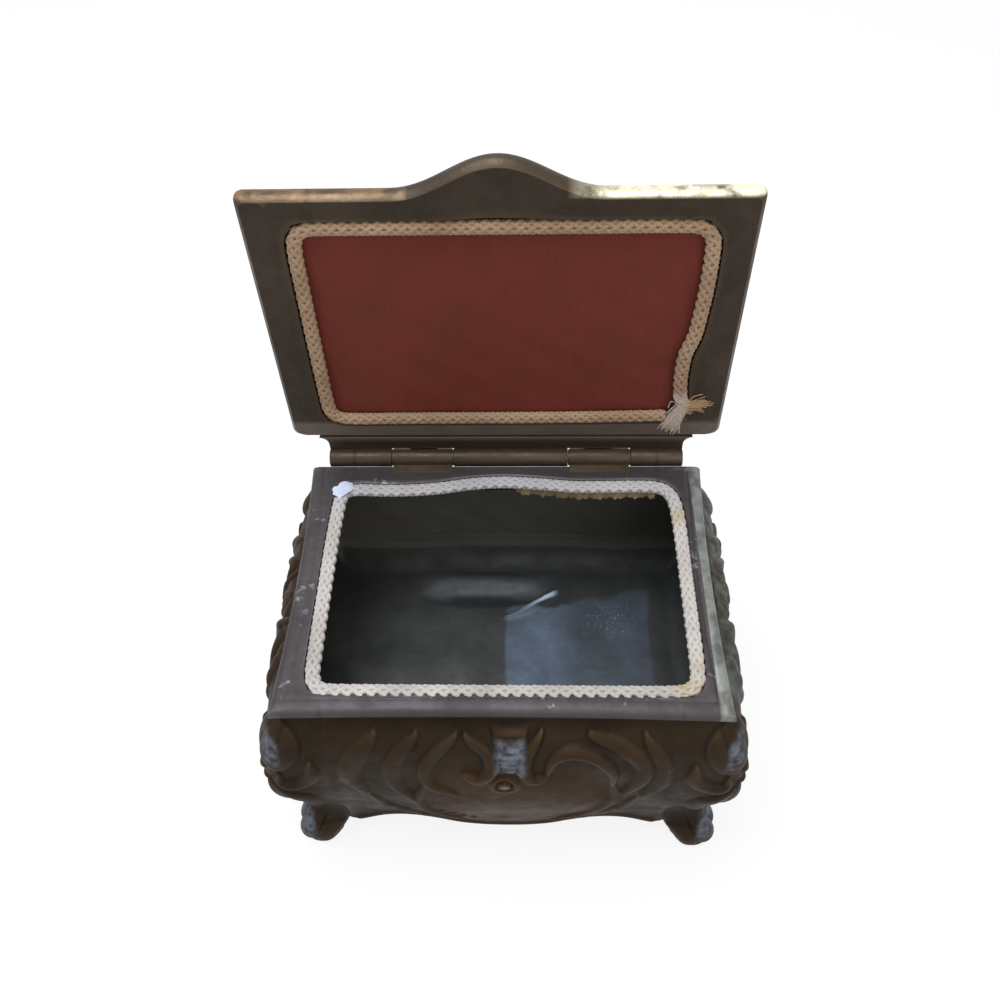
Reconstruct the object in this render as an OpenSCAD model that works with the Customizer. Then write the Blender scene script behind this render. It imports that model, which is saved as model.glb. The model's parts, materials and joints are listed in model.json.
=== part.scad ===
// Small cast metal keepsake box on four scroll feet, its hinged lid standing open.
// X is to the right, Y to the back and Z up, in millimetres, with the ground at Z = 0.

/* [Base] */
// Width over the rim's corner ears
rim_w = 108; // [98:1:130]
// Depth over the rim's corner ears
rim_d = 74; // [66:1:96]
// Height of the rim's top above the ground
base_h = 71; // [62:1:90]
// Thickness of the rim frame
rim_t = 4; // [3.4:0.1:6]
// How far the middle of a long rim edge draws in
pinch_long = 0.7; // [0:0.1:1.5]
// How far the middle of a short rim edge draws in
pinch_short = 1.2; // [0:0.1:2]
// Swell of the walls beyond the rim's outline
wall_swell = 6; // [2:0.1:7]
// Extra swell in the middle of a short wall
side_swell = 1; // [0:0.1:2]
// Thickness of the cast walls
wall_t = 2.4; // [1.8:0.1:3]
// Length of wall that each corner casting takes along both sides
corner_len = 12; // [11:0.5:16]
// Outside radius of the walls round a corner
corner_r = 8; // [6.5:0.5:9]
// Extra swell of the cartouche in the middle of a long wall
cartouche_swell = 2.4; // [0:0.1:3]

/* [Feet] */
// Height of the feet below the walls' straight part
foot_h = 18; // [15:0.5:24]
// Half width of a foot's scroll
foot_rx = 6.5; // [5.5:0.1:7.5]
// Half depth of a foot's scroll
foot_ry = 6; // [5:0.1:7]
// How far a foot's scroll reaches beyond the rim's corner, to the side
foot_out_x = 4.4; // [0:0.1:5]
// How far a foot's scroll reaches beyond the rim's corner, to the front or back
foot_out_y = 6.4; // [0:0.1:7]
// Radius of the flat pad under a foot
pad_r = 3.6; // [2.5:0.1:4.2]
// Height of the flat pad under a foot
pad_h = 0.6; // [0.4:0.1:1]

/* [Floor] */
// Thickness of the floor pan
floor_t = 1.5; // [1:0.1:2.4]
// Radius of the pan's turned-up border
floor_bend = 9; // [6:0.5:12]
// Depth of the pan's edge below the rim's top
floor_edge = 37; // [34:0.5:38]
// Joint gap between the pan and the walls
floor_gap = 0.15; // [0.1:0.05:0.3]

/* [Lid] */
// Width of the lid
lid_w = 117; // [108:0.5:138]
// Depth of the lid from its back edge to its straight front edge
lid_d = 76.1; // [70:0.1:98]
// Radius of the lid's corners beside the hinge
lid_back_r = 3; // [1.5:0.5:5]
// Radius of the lid's front corners
lid_front_r = 1.5; // [0.5:0.5:4]
// Thickness of the lid's edge
lid_edge = 4; // [2:0.1:4.4]
// Height of the lid's crown above its flat underside
lid_crown = 10.4; // [9:0.1:13]
// How far the scalloped lip stands out in front
lip_out = 8.2; // [4:0.2:12]
// Half width of the scalloped lip
lip_half = 25; // [16:1:32]
// Width of the bare border along the lid's sides
border_side = 7.7; // [6:0.1:10]
// Width of the bare border along the lid's front
border_front = 5.8; // [4:0.1:9]
// Width of the bare border along the lid's back
border_back = 4.2; // [3:0.1:6]
// Depth of the recess that holds the lining
recess_d = 4; // [3.8:0.1:4.8]
// Width of the ledge round the hollow over the lining card
ledge_w = 6; // [4:0.5:10]
// Thickness of metal over the hollow
crown_t = 2.8; // [2:0.1:3.4]
// Radius of the lining's corners
lining_r = 6; // [3:0.5:8]
// Angle at which the lid stands open
lid_open = 92; // [88:1:100]

/* [Hinge] */
// Distance of the hinge axis behind the rim
hinge_back = 3; // [2.9:0.1:6]
// Height of the hinge axis above the rim's top
hinge_up = 0.3; // [0:0.1:0.8]
// Outside radius of the hinge knuckles
knuckle_r = 2.6; // [2.2:0.1:3]
// Radius of the hinge pin
pin_r = 1; // [0.8:0.05:1.2]
// Radial clearance of the pin in the lid's knuckles
pin_play = 0.06; // [0.03:0.01:0.1]
// Radial clearance of the pin in the rim's knuckles
pin_seat = 0.02; // [0.01:0.01:0.03]
// Gap between neighbouring knuckles
knuckle_gap = 0.5; // [0.3:0.1:0.8]
// Distance from the lid's back edge to the hinge axis
leaf_len = 7; // [6.6:0.1:9]
// Thickness of the hinge leaf on the lid
leaf_t = 1.6; // [1.4:0.1:2]
// Overall length of the hinge
hinge_len = 98; // [80:0.5:100]
// Length of each of the two rim knuckles
rim_knuckle_len = 16.4; // [12:0.2:20]
// Length of the lid's middle knuckle
mid_knuckle_len = 32.7; // [24:0.5:36]
// Shift of the lid's middle knuckle to the right of the middle
mid_knuckle_shift = 1.5; // [0:0.1:3]
// Depth of the seat in the rim that holds a rim knuckle's root
seat_in = 2.2; // [1.4:0.1:2.8]
// Height of that seat
seat_h = 2.3; // [1.6:0.1:2.8]
// Gap round the rim knuckles in the lid's leaf
notch_gap = 0.8; // [0.5:0.1:1]
// Radius of the hollow curves at the leaf's ends
leaf_fillet = 2.4; // [1:0.1:3]
// Thickness of the stop lug behind each rim knuckle
stop_t = 1.6; // [1.2:0.1:2.2]
// Width of the stop lug
stop_w = 8; // [5:0.5:12]
// Height of the stop lug above the hinge axis
stop_up = 5.6; // [5:0.1:6]
// Gap between the stop lug and the open lid's leaf
stop_gap = 0.3; // [0.2:0.05:0.5]

/* [Lining and cords] */
// Width of the braided cord round the rim's opening
base_cord_w = 3.6; // [3:0.1:4.2]
// Height of the braided cord round the rim's opening
base_cord_h = 2.7; // [2.2:0.1:3.2]
// How far that cord stands proud of the rim
base_cord_proud = 0.5; // [0:0.1:0.8]
// Width of the braided cord round the lid's lining
lid_cord_w = 3.6; // [3:0.1:4]
// Height of the braided cord round the lid's lining
lid_cord_h = 2.4; // [2:0.1:2.6]
// Distance of that cord's middle line inside the lining's edge, along the sides
lid_cord_side = 2.2; // [1.9:0.1:3]
// The same distance along the back
lid_cord_back = 2.4; // [1.9:0.1:3]
// The same distance along the front
lid_cord_front = 2.8; // [1.9:0.1:3]
// How far that cord stands proud of the lid's border
lid_cord_proud = 0.2; // [0:0.05:0.4]
// Thickness of the scrap of tape over the cord's joint
tape_t = 0.2; // [0.1:0.05:0.3]
// Gap left between the two cords in the closed box
cord_gap = 0.3; // [0.3:0.05:0.6]
// Gap between a glued cord and the edge that it lies along
glue_gap = 0.1; // [0.05:0.05:0.2]
// Thickness of the lining's silk
silk_t = 0.4; // [0.3:0.1:0.6]
// Clearance round the lining card in its recess
card_gap = 0.3; // [0.2:0.1:0.6]
// Length of old lining cloth left hanging below the back cord
remnant_len = 38; // [20:1:40]
// Drop of that cloth
remnant_drop = 3.2; // [2:0.1:5]
// Place of the cloth's left end, to the right of the middle
remnant_start = 3; // [-20:1:3]
// Distance of the cloth from the cord's middle line, towards the inside
remnant_in = 1.2; // [0.8:0.1:1.6]
// Length of the scrap of tape
tape_len = 7; // [5:0.5:9]
// Width of the scrap of tape
tape_w = 5; // [4:0.5:7]

/* [Hidden] */

bronze = "#3c302a";
bronze_light = "#4a3d36";
rim_metal = "#57504f";
inner_metal = "#3d4042";

wall_h = base_h - rim_t - foot_h;
wall_top = base_h - rim_t;
half_w = rim_w / 2;
half_d = rim_d / 2;
joint_x = half_w - corner_len;
joint_y = half_d - corner_len;

// Closed lid: its flat underside rests over the rim at this gap, set by the two cords
lid_rest_gap = base_cord_proud + tape_t + lid_cord_proud + cord_gap;
// Height of the lid's underside above the hinge axis, in the closed box
under_z = lid_rest_gap - hinge_up;
hinge_y = half_d + hinge_back;
hinge_z = base_h + hinge_up;
lid_mid_y = -leaf_len - lid_d / 2;

// The box stands with the middle of its outline, lid open, over the origin
front_reach = half_d - pinch_long + wall_swell + cartouche_swell;
back_reach = hinge_y + lid_crown + under_z + (leaf_len + lid_d) * sin(lid_open - 90);
base_y = (front_reach - back_reach) / 2;

// Depth below the rim's underside as a share of the wall height, against swell
mid_profile = [
    [0, -0.35], [0.05, -0.1], [0.1, 0.35], [0.15, 0.65], [0.25, 0.88],
    [0.36, 1], [0.5, 1.03], [0.7, 0.95], [0.9, 0.75], [1, 0.65], [1.2, 0.55]
];
corner_profile = [
    [0, -0.25], [0.08, 0.1], [0.15, 0.37], [0.25, 0.67], [0.36, 0.93],
    [0.48, 1.1], [0.6, 1.14], [0.73, 0.97], [0.86, 0.62], [1, 0.36], [1.2, 0.3]
];
// Place along a wall as a share of the way to its joint, against the lower edge's depth
apron = [
    [0, 1.1], [0.16, 1.09], [0.31, 1.04], [0.4, 0.969], [0.5, 0.927], [0.6, 0.945],
    [0.69, 0.98], [0.79, 1.03], [0.9, 1.1], [1, 1.16]
];
apron_end = 1.16;
// Height up a foot as a share of its own, against its size, and against its draw inwards
foot_size = [
    [0, 0.74], [0.08, 0.88], [0.18, 0.98], [0.31, 1], [0.46, 0.96], [0.61, 0.86], [0.78, 0.76],
    [1, 0.7], [1.4, 0.66]
];
foot_draw = [[0.31, 0], [0.46, 0.3], [0.61, 0.9], [0.78, 1.6], [1, 2.2], [1.4, 2.6]];
// How far a pad reaches up into its foot
pad_root = 0.4;

// Routes of the two glued cords: X with Y round the rim, X with distance from the lid's back
base_cord_route = [
    [-44.7, 25.9], [-45, 22], [-45.2, 14], [-45.2, 2], [-45.1, -10], [-45, -20], [-44.8, -26],
    [-43.9, -29], [-41.8, -30.5], [-37, -30.8], [-24, -30.8], [-10, -30.8], [4, -30.8],
    [18, -30.8], [32, -30.8], [40, -30.7], [43.6, -30.1], [45.6, -28.3], [46.3, -25],
    [46.4, -14], [46.4, -2], [46.4, 10], [46.2, 20], [45.6, 25.4], [44, 28.6], [41, 30.1],
    [36, 30.4], [28, 30.3], [19, 30.3], [10, 31.2], [0, 31.9], [-9, 31.3], [-18, 29.8],
    [-26, 29.1], [-34, 29], [-40, 29.2], [-43.6, 28.4]
];
lid_cord_route = [
    [43, 7], [30, 6.6], [12, 6.3], [-8, 6.2], [-28, 6.1], [-40, 6], [-44.4, 6.5],
    [-46.6, 8.4], [-47.2, 12], [-47.3, 24], [-47.3, 38], [-47.2, 52], [-47.1, 60],
    [-46.4, 64.4], [-44, 66.5], [-39, 66.9], [-20, 66.9], [0, 66.9], [20, 66.9], [40, 66.9],
    [45, 66.5], [47.6, 64.6], [48.5, 61], [48.6, 50], [48.2, 42], [47.6, 35], [46.1, 29],
    [45.8, 24], [45.9, 19], [46.3, 15.5]
];
cord_end_route = [[46.34, 15.15], [46.6, 13.4], [47.6, 11.6], [49, 10.4]];

// Sizes of the rim that the first route is drawn for, and the other route's own reach
drawn_half_w = 54;
drawn_half_d = 37;
lid_route_half = max([for (p = lid_cord_route) abs(p.x)]);
lid_route_back = min([for (p = lid_cord_route) p.y]);
lid_route_front = max([for (p = lid_cord_route) p.y]);

lining_half = lid_w / 2 - border_side;
lining_run = lid_d - border_front - border_back;
base_cord_path = [
    for (p = base_cord_route) [p.x * half_w / drawn_half_w, p.y * half_d / drawn_half_d]
];
function on_lining(p) =
    let (
        across = (lining_half - lid_cord_side) / lid_route_half,
        along = (lining_run - lid_cord_back - lid_cord_front) / (lid_route_front - lid_route_back)
    )
        [
            p.x * across,
            -leaf_len - border_back - lid_cord_back - (p.y - lid_route_back) * along
        ];
lid_cord_path = [for (p = lid_cord_route) on_lining(p)];
cord_end_path = [for (p = cord_end_route) on_lining(p)];

module at_base() { translate([0, base_y, 0]) children(); }

module at_lid() {
    at_base() translate([0, hinge_y, hinge_z]) rotate([-lid_open, 0, 0]) children();
}

// Closed skin over rings of equal length, each counter-clockwise seen from the next one. Its
// ends are made of strips across the ring, which also suit a narrow, bent ring.
module loft(rings) {
    n = len(rings[0]);
    last = (len(rings) - 1) * n;
    sides = [
        for (j = [0 : len(rings) - 2], i = [0 : n - 1])
            let (a = j * n + i, b = j * n + (i + 1) % n)
                each [[a, b + n, b], [a, a + n, b + n]]
    ];
    strips = [
        for (i = [0 : ceil(n / 2) - 2])
            let (b = n - 1 - i)
                each concat([[i, i + 1, b]], i + 1 < b - 1 ? [[i + 1, b - 1, b]] : [])
    ];
    other_end = [for (s = strips) [last + s[2], last + s[1], last + s[0]]];
    polyhedron([for (ring = rings) each ring], concat(strips, other_end, sides));
}

// Unit direction of a route at one of its points
function heading(path, i) =
    let (a = path[max(i - 1, 0)], b = path[min(i + 1, len(path) - 1)]) (b - a) / norm(b - a);

// Tube of oval section along a flat route at height z, tapering to a share of its size
module cord(path, z, width, height, taper = 1, sides = 8) {
    loft([
        for (i = [0 : len(path) - 1])
            let (t = heading(path, i), k = 1 + (taper - 1) * i / (len(path) - 1))
                [
                    for (s = [0 : sides - 1])
                        let (a = 360 * s / sides, u = k * width / 2 * cos(a))
                            [path[i].x - t.y * u, path[i].y + t.x * u, z + k * height / 2 * sin(a)]
                ]
    ]);
}

// Rectangle with round corners, as points
function round_rect(x, y, r, steps = 6) = [
    for (c = [0 : 3], i = [0 : steps])
        let (a = 180 + 90 * c + 90 * i / steps)
            [
                (c == 0 || c == 3 ? -1 : 1) * (x - r) + r * cos(a),
                (c < 2 ? -1 : 1) * (y - r) + r * sin(a)
            ]
];

// Outward reach of the corner castings and of the walls, at a share t of the wall's height
function corner_out(t) = wall_swell * lookup(t, corner_profile);
function wall_out(u, t) =
    let (k = pow(min(abs(u), 1), 4))
        wall_swell * (lookup(t, mid_profile) * (1 - k) + lookup(t, corner_profile) * k);
function wall_z(t) = wall_top - t * wall_h;

// Distance of a wall's outer face from the box's middle, at a along the wall
function wall_face(a, t, half_a, half_out, pinch, more = 0) =
    let (u = a / (half_a + corner_out(t) - corner_r))
        half_out + (more * lookup(t, mid_profile) - pinch) * (1 - u * u) + wall_out(u, t);

// Half width of the cartouche, its place down the wall and its half height, as shares
cartouche_half = half_w / 2;
cartouche_mid = 0.72;
cartouche_tall = 0.42;
// Share of the cartouche's swell that its hollow back follows
inner_share = 0.6;
// Cartouche in the middle of a long wall: a broad oval boss
function cartouche(a, t) =
    let (u = a / cartouche_half, v = (t - cartouche_mid) / cartouche_tall)
        cartouche_swell * exp(-pow(u * u + v * v, 2));

// One wall between two corner castings, seen as the front wall
module wall(half_a, half_out, pinch, more = 0, boss = 0, columns = 18, rows = 9) {
    joint_a = half_a - corner_len;
    loft([
        for (i = [0 : columns])
            let (
                a = joint_a * (2 * i / columns - 1),
                edge = lookup(abs(a) / joint_a, apron),
                ts = [for (j = [0 : rows]) edge * j / rows]
            )
                concat(
                    [
                        for (t = ts)
                            [
                                a,
                                -wall_face(a, t, half_a, half_out, pinch, more)
                                    - boss * cartouche(a, t),
                                wall_z(t)
                            ]
                    ],
                    [
                        for (j = [rows : -1 : 0])
                            let (t = ts[j])
                                [
                                    a,
                                    wall_t - wall_face(a, t, half_a, half_out, pinch, more)
                                        - inner_share * boss * cartouche(a, t),
                                    wall_z(t)
                                ]
                    ]
                )
    ]);
}

// Path round a corner at a share t of the height, set in by the distance inset
corner_steps = 7;
function corner_path(t, inset) =
    let (
        cx = half_w + corner_out(t) - corner_r,
        cy = half_d + corner_out(t) - corner_r,
        r = corner_r - inset
    )
        concat(
            [
                for (x = [joint_x, (joint_x + cx) / 2])
                    [x, inset - wall_face(x, t, half_w, half_d, pinch_long)]
            ],
            [
                for (i = [0 : corner_steps])
                    let (a = -90 + 90 * i / corner_steps)
                        [cx + r * cos(a), -cy + r * sin(a)]
            ],
            [
                for (y = [(joint_y + cy) / 2, joint_y])
                    [wall_face(y, t, half_d, half_w, pinch_short, side_swell) - inset, -y]
            ]
        );

function reversed(list) = [for (i = [len(list) - 1 : -1 : 0]) list[i]];

// Depth at which a corner casting begins to draw together into its foot
foot_start = 0.82;
ring_half = corner_steps + 5;
foot_x = half_w + foot_out_x - foot_rx;
foot_y = half_d + foot_out_y - foot_ry;

// Ring of a corner casting at a share t of the height, outer face first
function shell_ring(t) =
    let (outer = corner_path(t, 0), inner = reversed(corner_path(t, wall_t)))
        [for (p = concat(outer, inner)) [p.x, p.y, wall_z(t)]];

// Directions of the points round a foot: two thirds of the way round on the outside
foot_last = ring_half - 1;
foot_angles = concat(
    [for (i = [0 : foot_last]) 240 * i / foot_last - 165],
    [for (i = [0 : foot_last]) 60 * i / foot_last + 105]
);

// Ring of a foot at height z, with as many points as the shell's
function foot_ring(z) =
    let (
        size = lookup(z / foot_h, foot_size),
        draw = lookup(z / foot_h, foot_draw),
        rx = foot_rx * size,
        ry = foot_ry * size
    )
        [for (a = foot_angles) [foot_x - draw + rx * cos(a), -foot_y + draw + ry * sin(a), z]];

// Ring part of the way from shell to foot, furthest on at the corner's own edge
function drawn_ring(t) =
    let (
        shell = shell_ring(t),
        foot = foot_ring(wall_z(t)),
        way = (t - foot_start) / (apron_end - foot_start)
    )
        [
            for (i = [0 : 2 * ring_half - 1])
                let (
                    place = min(i, 2 * ring_half - 1 - i) / foot_last,
                    k = way * sin(180 * (0.02 + 0.96 * place))
                )
                    shell[i] * (1 - k) + foot[i] * k
        ];

// Corner casting down into its foot, seen as the front right one
module corner(rows = 9, drawn_rows = 5) {
    wing_z = wall_z(apron_end);
    loft(concat(
        [foot_ring(pad_h)],
        [for (share = [0.14, 0.3, 0.5, 0.72, 0.92]) foot_ring(share * wing_z)],
        [
            for (j = [drawn_rows : -1 : 1])
                drawn_ring(foot_start + (apron_end - foot_start) * j / drawn_rows)
        ],
        [for (j = [rows : -1 : 0]) shell_ring(foot_start * j / rows)]
    ));
    translate([foot_x, -foot_y, 0]) cylinder(r = pad_r, h = pad_h + pad_root, $fn = 48);
}

// Ring of the rim's outline, set in by the distance inset, at height z
function rim_ring(inset, z, steps = 10) = [
    for (q = [0 : 3], i = [0 : steps - 1])
        let (
            long = q % 2 == 0,
            half_a = (long ? half_w : half_d) - inset,
            pinch = q == 0 ? pinch_long : long ? 0 : pinch_short,
            u = 2 * i / steps - 1,
            a = u * half_a,
            w = (long ? half_d : half_w) - inset - pinch * (1 - u * u),
            p = q == 0 ? [a, -w] : q == 1 ? [w, a] : q == 2 ? [-a, w] : [-w, -a]
        )
            [p.x, p.y > 0 ? p.y * (half_d - min(inset, back_inset)) / (half_d - inset) : p.y, z]
];

// Space of the rim's opening: the outer edge of the cord that lines it
module rim_opening() {
    half = base_cord_w / 2 + glue_gap;
    translate([0, 0, wall_top - 1])
        linear_extrude(rim_t + 2)
            polygon([
                for (i = [0 : len(base_cord_path) - 1])
                    let (p = base_cord_path[i], t = heading(base_cord_path, i))
                        [p.x + t.y * half, p.y - t.x * half]
            ]);
}

// Set-in and height of the rim's moulded edge, from its underside to its flat top
rim_profile = [
    [1.8, 0], [0.7, 0.12], [0.15, 0.32], [0, 0.55], [0.3, 0.76], [0.9, 0.89], [2.2, 0.96], [2.8, 1]
];

// The hinge lies along the back edge, which is straight and plain
back_inset = 0.3;

module rim_frame() {
    color(rim_metal) at_base() difference() {
        loft([for (p = rim_profile) rim_ring(p[0], wall_top + p[1] * rim_t)]);
        rim_opening();
        // Seats of the two hinge knuckles in the back edge
        for (span = rim_knuckles)
            translate([span[0], half_d - seat_in, base_h - seat_h])
                cube([span[1] - span[0], seat_in + 1, seat_h + 1]);
    }
}

module front_panel() {
    color(bronze) at_base() wall(half_w, half_d, pinch_long, boss = 1);
}

module back_panel() {
    color(bronze) at_base() rotate([0, 0, 180]) wall(half_w, half_d, pinch_long, boss = 1);
}

module left_panel() {
    color(bronze) at_base() rotate([0, 0, -90]) wall(half_d, half_w, pinch_short, side_swell, columns = 12);
}

module right_panel() {
    color(bronze) at_base() rotate([0, 0, 90]) wall(half_d, half_w, pinch_short, side_swell, columns = 12);
}

module front_right_corner() { color(bronze_light) at_base() corner(); }
module front_left_corner() { color(bronze_light) at_base() mirror([1, 0, 0]) corner(); }
module back_right_corner() { color(bronze_light) at_base() mirror([0, 1, 0]) corner(); }
module back_left_corner() {
    color(bronze_light) at_base() mirror([1, 0, 0]) mirror([0, 1, 0]) corner();
}

// Quarter of the walls' plan at a share t of the height, set in by the distance inset
function quarter(t, inset, steps = 7) =
    let (
        r = max(corner_r - inset, 1),
        cx = half_w + corner_out(t) - inset - r,
        cy = half_d + corner_out(t) - inset - r
    )
        concat(
            [
                for (k = [0 : 9])
                    let (x = k * cx / 10)
                        [
                            x,
                            inset - wall_face(x, t, half_w, half_d, pinch_long)
                                - inner_share * cartouche(x, t)
                        ]
            ],
            [
                for (i = [0 : steps])
                    let (a = -90 + 90 * i / steps) [cx + r * cos(a), -cy + r * sin(a)]
            ],
            [
                for (k = [4 : -1 : 0])
                    let (y = k * cy / 5)
                        [wall_face(y, t, half_d, half_w, pinch_short, side_swell) - inset, -y]
            ]
        );

// Whole ring of the walls' plan, set in by the distance inset, at a depth below the rim's top
function plan_ring(depth, inset) =
    let (q = quarter((depth - rim_t) / wall_h, inset), n = len(q), z = base_h - depth)
        concat(
            [for (i = [0 : n - 2]) [q[i].x, q[i].y, z]],
            [for (i = [n - 1 : -1 : 1]) [q[i].x, -q[i].y, z]],
            [for (i = [0 : n - 2]) [-q[i].x, -q[i].y, z]],
            [for (i = [n - 1 : -1 : 1]) [-q[i].x, q[i].y, z]]
        );

module floor_pan() {
    under = floor_bend;
    over = floor_bend - floor_t;
    set_in = wall_t + floor_gap + floor_bend;
    color(inner_metal) at_base() loft(concat(
        [for (a = [90 : -22.5 : 0]) plan_ring(floor_edge + under * sin(a), set_in - under * cos(a))],
        [for (a = [0 : 22.5 : 90]) plan_ring(floor_edge + over * sin(a), set_in - over * cos(a))]
    ));
}

// Knuckles of the hinge: where each starts and ends along X
mid_start = mid_knuckle_shift - mid_knuckle_len / 2;
mid_end = mid_knuckle_shift + mid_knuckle_len / 2;
rim_knuckles = [
    [mid_start - rim_knuckle_len, mid_start], [mid_end, mid_end + rim_knuckle_len]
];
lid_knuckles = [
    [-hinge_len / 2, mid_start - rim_knuckle_len - knuckle_gap],
    [mid_start + knuckle_gap, mid_end - knuckle_gap],
    [mid_end + rim_knuckle_len + knuckle_gap, hinge_len / 2]
];

// Round bar along X at the hinge axis
module along_x(x0, x1, r) {
    translate([x0, 0, 0]) rotate([0, 90, 0]) cylinder(r = r, h = x1 - x0, $fn = 64);
}

module rim_hinge_leaf() {
    // The open leaf's outer face leans back by this much at its top
    lean = max(0, leaf_len * sin(lid_open - 90));
    stop_y = under_z + leaf_t + lean + stop_gap;
    color(bronze_light) at_base() translate([0, hinge_y, hinge_z]) for (span = rim_knuckles)
        difference() {
            union() {
                along_x(span[0], span[1], knuckle_r);
                // Root let into the rim's back edge, flush with its top
                translate([span[0], -hinge_back - seat_in, -hinge_up - seat_h])
                    cube([span[1] - span[0], hinge_back + seat_in, seat_h]);
                // Lug behind the barrel that stops the open lid
                translate([(span[0] + span[1] - stop_w) / 2, 0, -knuckle_r])
                    cube([stop_w, stop_y + stop_t, stop_t]);
                translate([(span[0] + span[1] - stop_w) / 2, stop_y, -knuckle_r])
                    cube([stop_w, stop_t, knuckle_r + stop_up]);
            }
            along_x(span[0] - 1, span[1] + 1, pin_r + pin_seat);
        }
}

module hinge_pin() {
    color("#6a6560") at_base() translate([0, hinge_y, hinge_z])
        along_x(-hinge_len / 2, hinge_len / 2, pin_r);
}

module lid_hinge_leaf() {
    notch_y = knuckle_r + notch_gap;
    color(bronze_light) at_lid() difference() {
        union() {
            // Strip along the lid's back edge, its ends flaring out in hollow curves
            translate([0, 0, under_z]) linear_extrude(leaf_t) polygon(concat(
                [for (a = [0 : 15 : 90])
                    [hinge_len / 2 + leaf_fillet * (1 - cos(a)), -leaf_len + leaf_fillet * (1 - sin(a))]],
                [for (a = [90 : -15 : 0])
                    [-hinge_len / 2 - leaf_fillet * (1 - cos(a)), -leaf_len + leaf_fillet * (1 - sin(a))]],
                [[-hinge_len / 2, -notch_y], [hinge_len / 2, -notch_y]]
            ));
            for (span = lid_knuckles) {
                along_x(span[0], span[1], knuckle_r);
                translate([span[0], -notch_y - 1, under_z])
                    cube([span[1] - span[0], notch_y + 1, leaf_t]);
            }
        }
        along_x(-hinge_len, hinge_len, pin_r + pin_play);
    }
}

// Scalloped lip along the lid's front
function lip(x) = abs(x) < lip_half ? lip_out * pow(cos(90 * x / lip_half), 2.3) : 0;

// Arc of a lid corner, as points
function arc(x, y, r, from, to, steps = 5) = [
    for (i = [0 : steps])
        let (a = from + (to - from) * i / steps) [x + r * cos(a), y + r * sin(a)]
];

lid_half = lid_w / 2;
lid_front_y = -leaf_len - lid_d;
lid_outline = concat(
    arc(-lid_half + lid_back_r, -leaf_len - lid_back_r, lid_back_r, 90, 180),
    arc(-lid_half + lid_front_r, lid_front_y + lid_front_r, lid_front_r, 180, 270),
    [for (i = [-9 : 9]) [lip_half * i / 9, lid_front_y - lip(lip_half * i / 9)]],
    arc(lid_half - lid_front_r, lid_front_y + lid_front_r, lid_front_r, 270, 360),
    arc(lid_half - lid_back_r, -leaf_len - lid_back_r, lid_back_r, 0, 90)
);

// Set-in and share of the height of the lid's edge, then of its crown
lid_edge_profile = [[1.2, 0], [0.4, 0.2], [0, 0.55], [0.2, 1]];
lid_crown_profile = [
    [1.6, 0.16], [3.5, 0.34], [6, 0.52], [9, 0.68], [13, 0.84], [20, 0.96], [28, 1]
];
function lid_ring(inset, z) = [
    for (p = lid_outline)
        [
            p.x * (1 - inset / lid_half),
            lid_mid_y + (p.y - lid_mid_y) * (1 - inset / (lid_d / 2)),
            under_z + z
        ]
];

// Slab over the lid's lining, drawn in by the distance inset, between two heights
module lining_slab(inset, z0, z1) {
    translate([0, -leaf_len - border_back - lining_run / 2, under_z + z0])
        linear_extrude(z1 - z0)
            polygon(round_rect(lining_half - inset, lining_run / 2 - inset, lining_r - inset / 2));
}

module lid_casting() {
    color(bronze) at_lid() difference() {
        loft(concat(
            [for (p = lid_edge_profile) lid_ring(p[0], p[1] * lid_edge)],
            [for (p = lid_crown_profile) lid_ring(p[0], lid_edge + p[1] * (lid_crown - lid_edge))]
        ));
        lining_slab(0, -1, recess_d);
        lining_slab(ledge_w, recess_d - 1, lid_crown - crown_t);
    }
}

// Heights of the lining over the lid's underside
silk_z = lid_cord_h - lid_cord_proud;
card_z = silk_z + silk_t;

module lining_card() {
    color("#8c7a5e") at_lid() lining_slab(card_gap, card_z, recess_d);
}

module lining_silk() {
    color("#5e2a24") at_lid() lining_slab(card_gap, silk_z, card_z);
}

module lid_cord() {
    color("#7d6c58") at_lid()
        cord(lid_cord_path, under_z + silk_z - lid_cord_h / 2, lid_cord_w, lid_cord_h);
}

// Loose end of the lid's cord, fraying out over the lining
module lid_cord_end() {
    color("#8a7862") at_lid()
        cord(cord_end_path, under_z + silk_z - lid_cord_h / 2, lid_cord_w, lid_cord_h, 0.5);
}

base_cord_z = base_h + base_cord_proud - base_cord_h / 2;

module base_cord() {
    color("#c8bcae") at_base() cord(base_cord_path, base_cord_z, base_cord_w, base_cord_h);
}

// Scrap of tape pressed over the joint of the cord's two ends
module cord_joint_tape() {
    p = (base_cord_path[0] + base_cord_path[len(base_cord_path) - 1]) / 2;
    color("#dfe3ea") at_base() translate([p.x, p.y, base_h + base_cord_proud])
        rotate([0, 0, 40]) linear_extrude(tape_t) polygon(round_rect(tape_len / 2, tape_w / 2, 1));
}

// Back run of the cord, from left to right
back_run = reversed([
    for (p = base_cord_path) if (p.y > 0.75 * half_d && abs(p.x) < 0.8 * half_w) p
]);

// Old lining cloth left behind the cord at the back, its torn edge hanging down
module lining_remnant() {
    top = base_cord_z - base_cord_h / 2 - glue_gap;
    steps = 12;
    color("#a8905c") at_base() loft([
        for (i = [0 : steps])
            let (
                x = remnant_start + remnant_len * i / steps,
                y = lookup(x, back_run) - remnant_in,
                tear = 0.45 + 0.55 * sin(180 * i / steps) + 0.12 * sin(1100 * i / steps),
                drop = remnant_drop * tear
            )
                [
                    [x, y, top], [x, y - 0.5, top - drop],
                    [x, y - 0.1, top - drop], [x, y + 0.4, top]
                ]
    ]);
}

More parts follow.
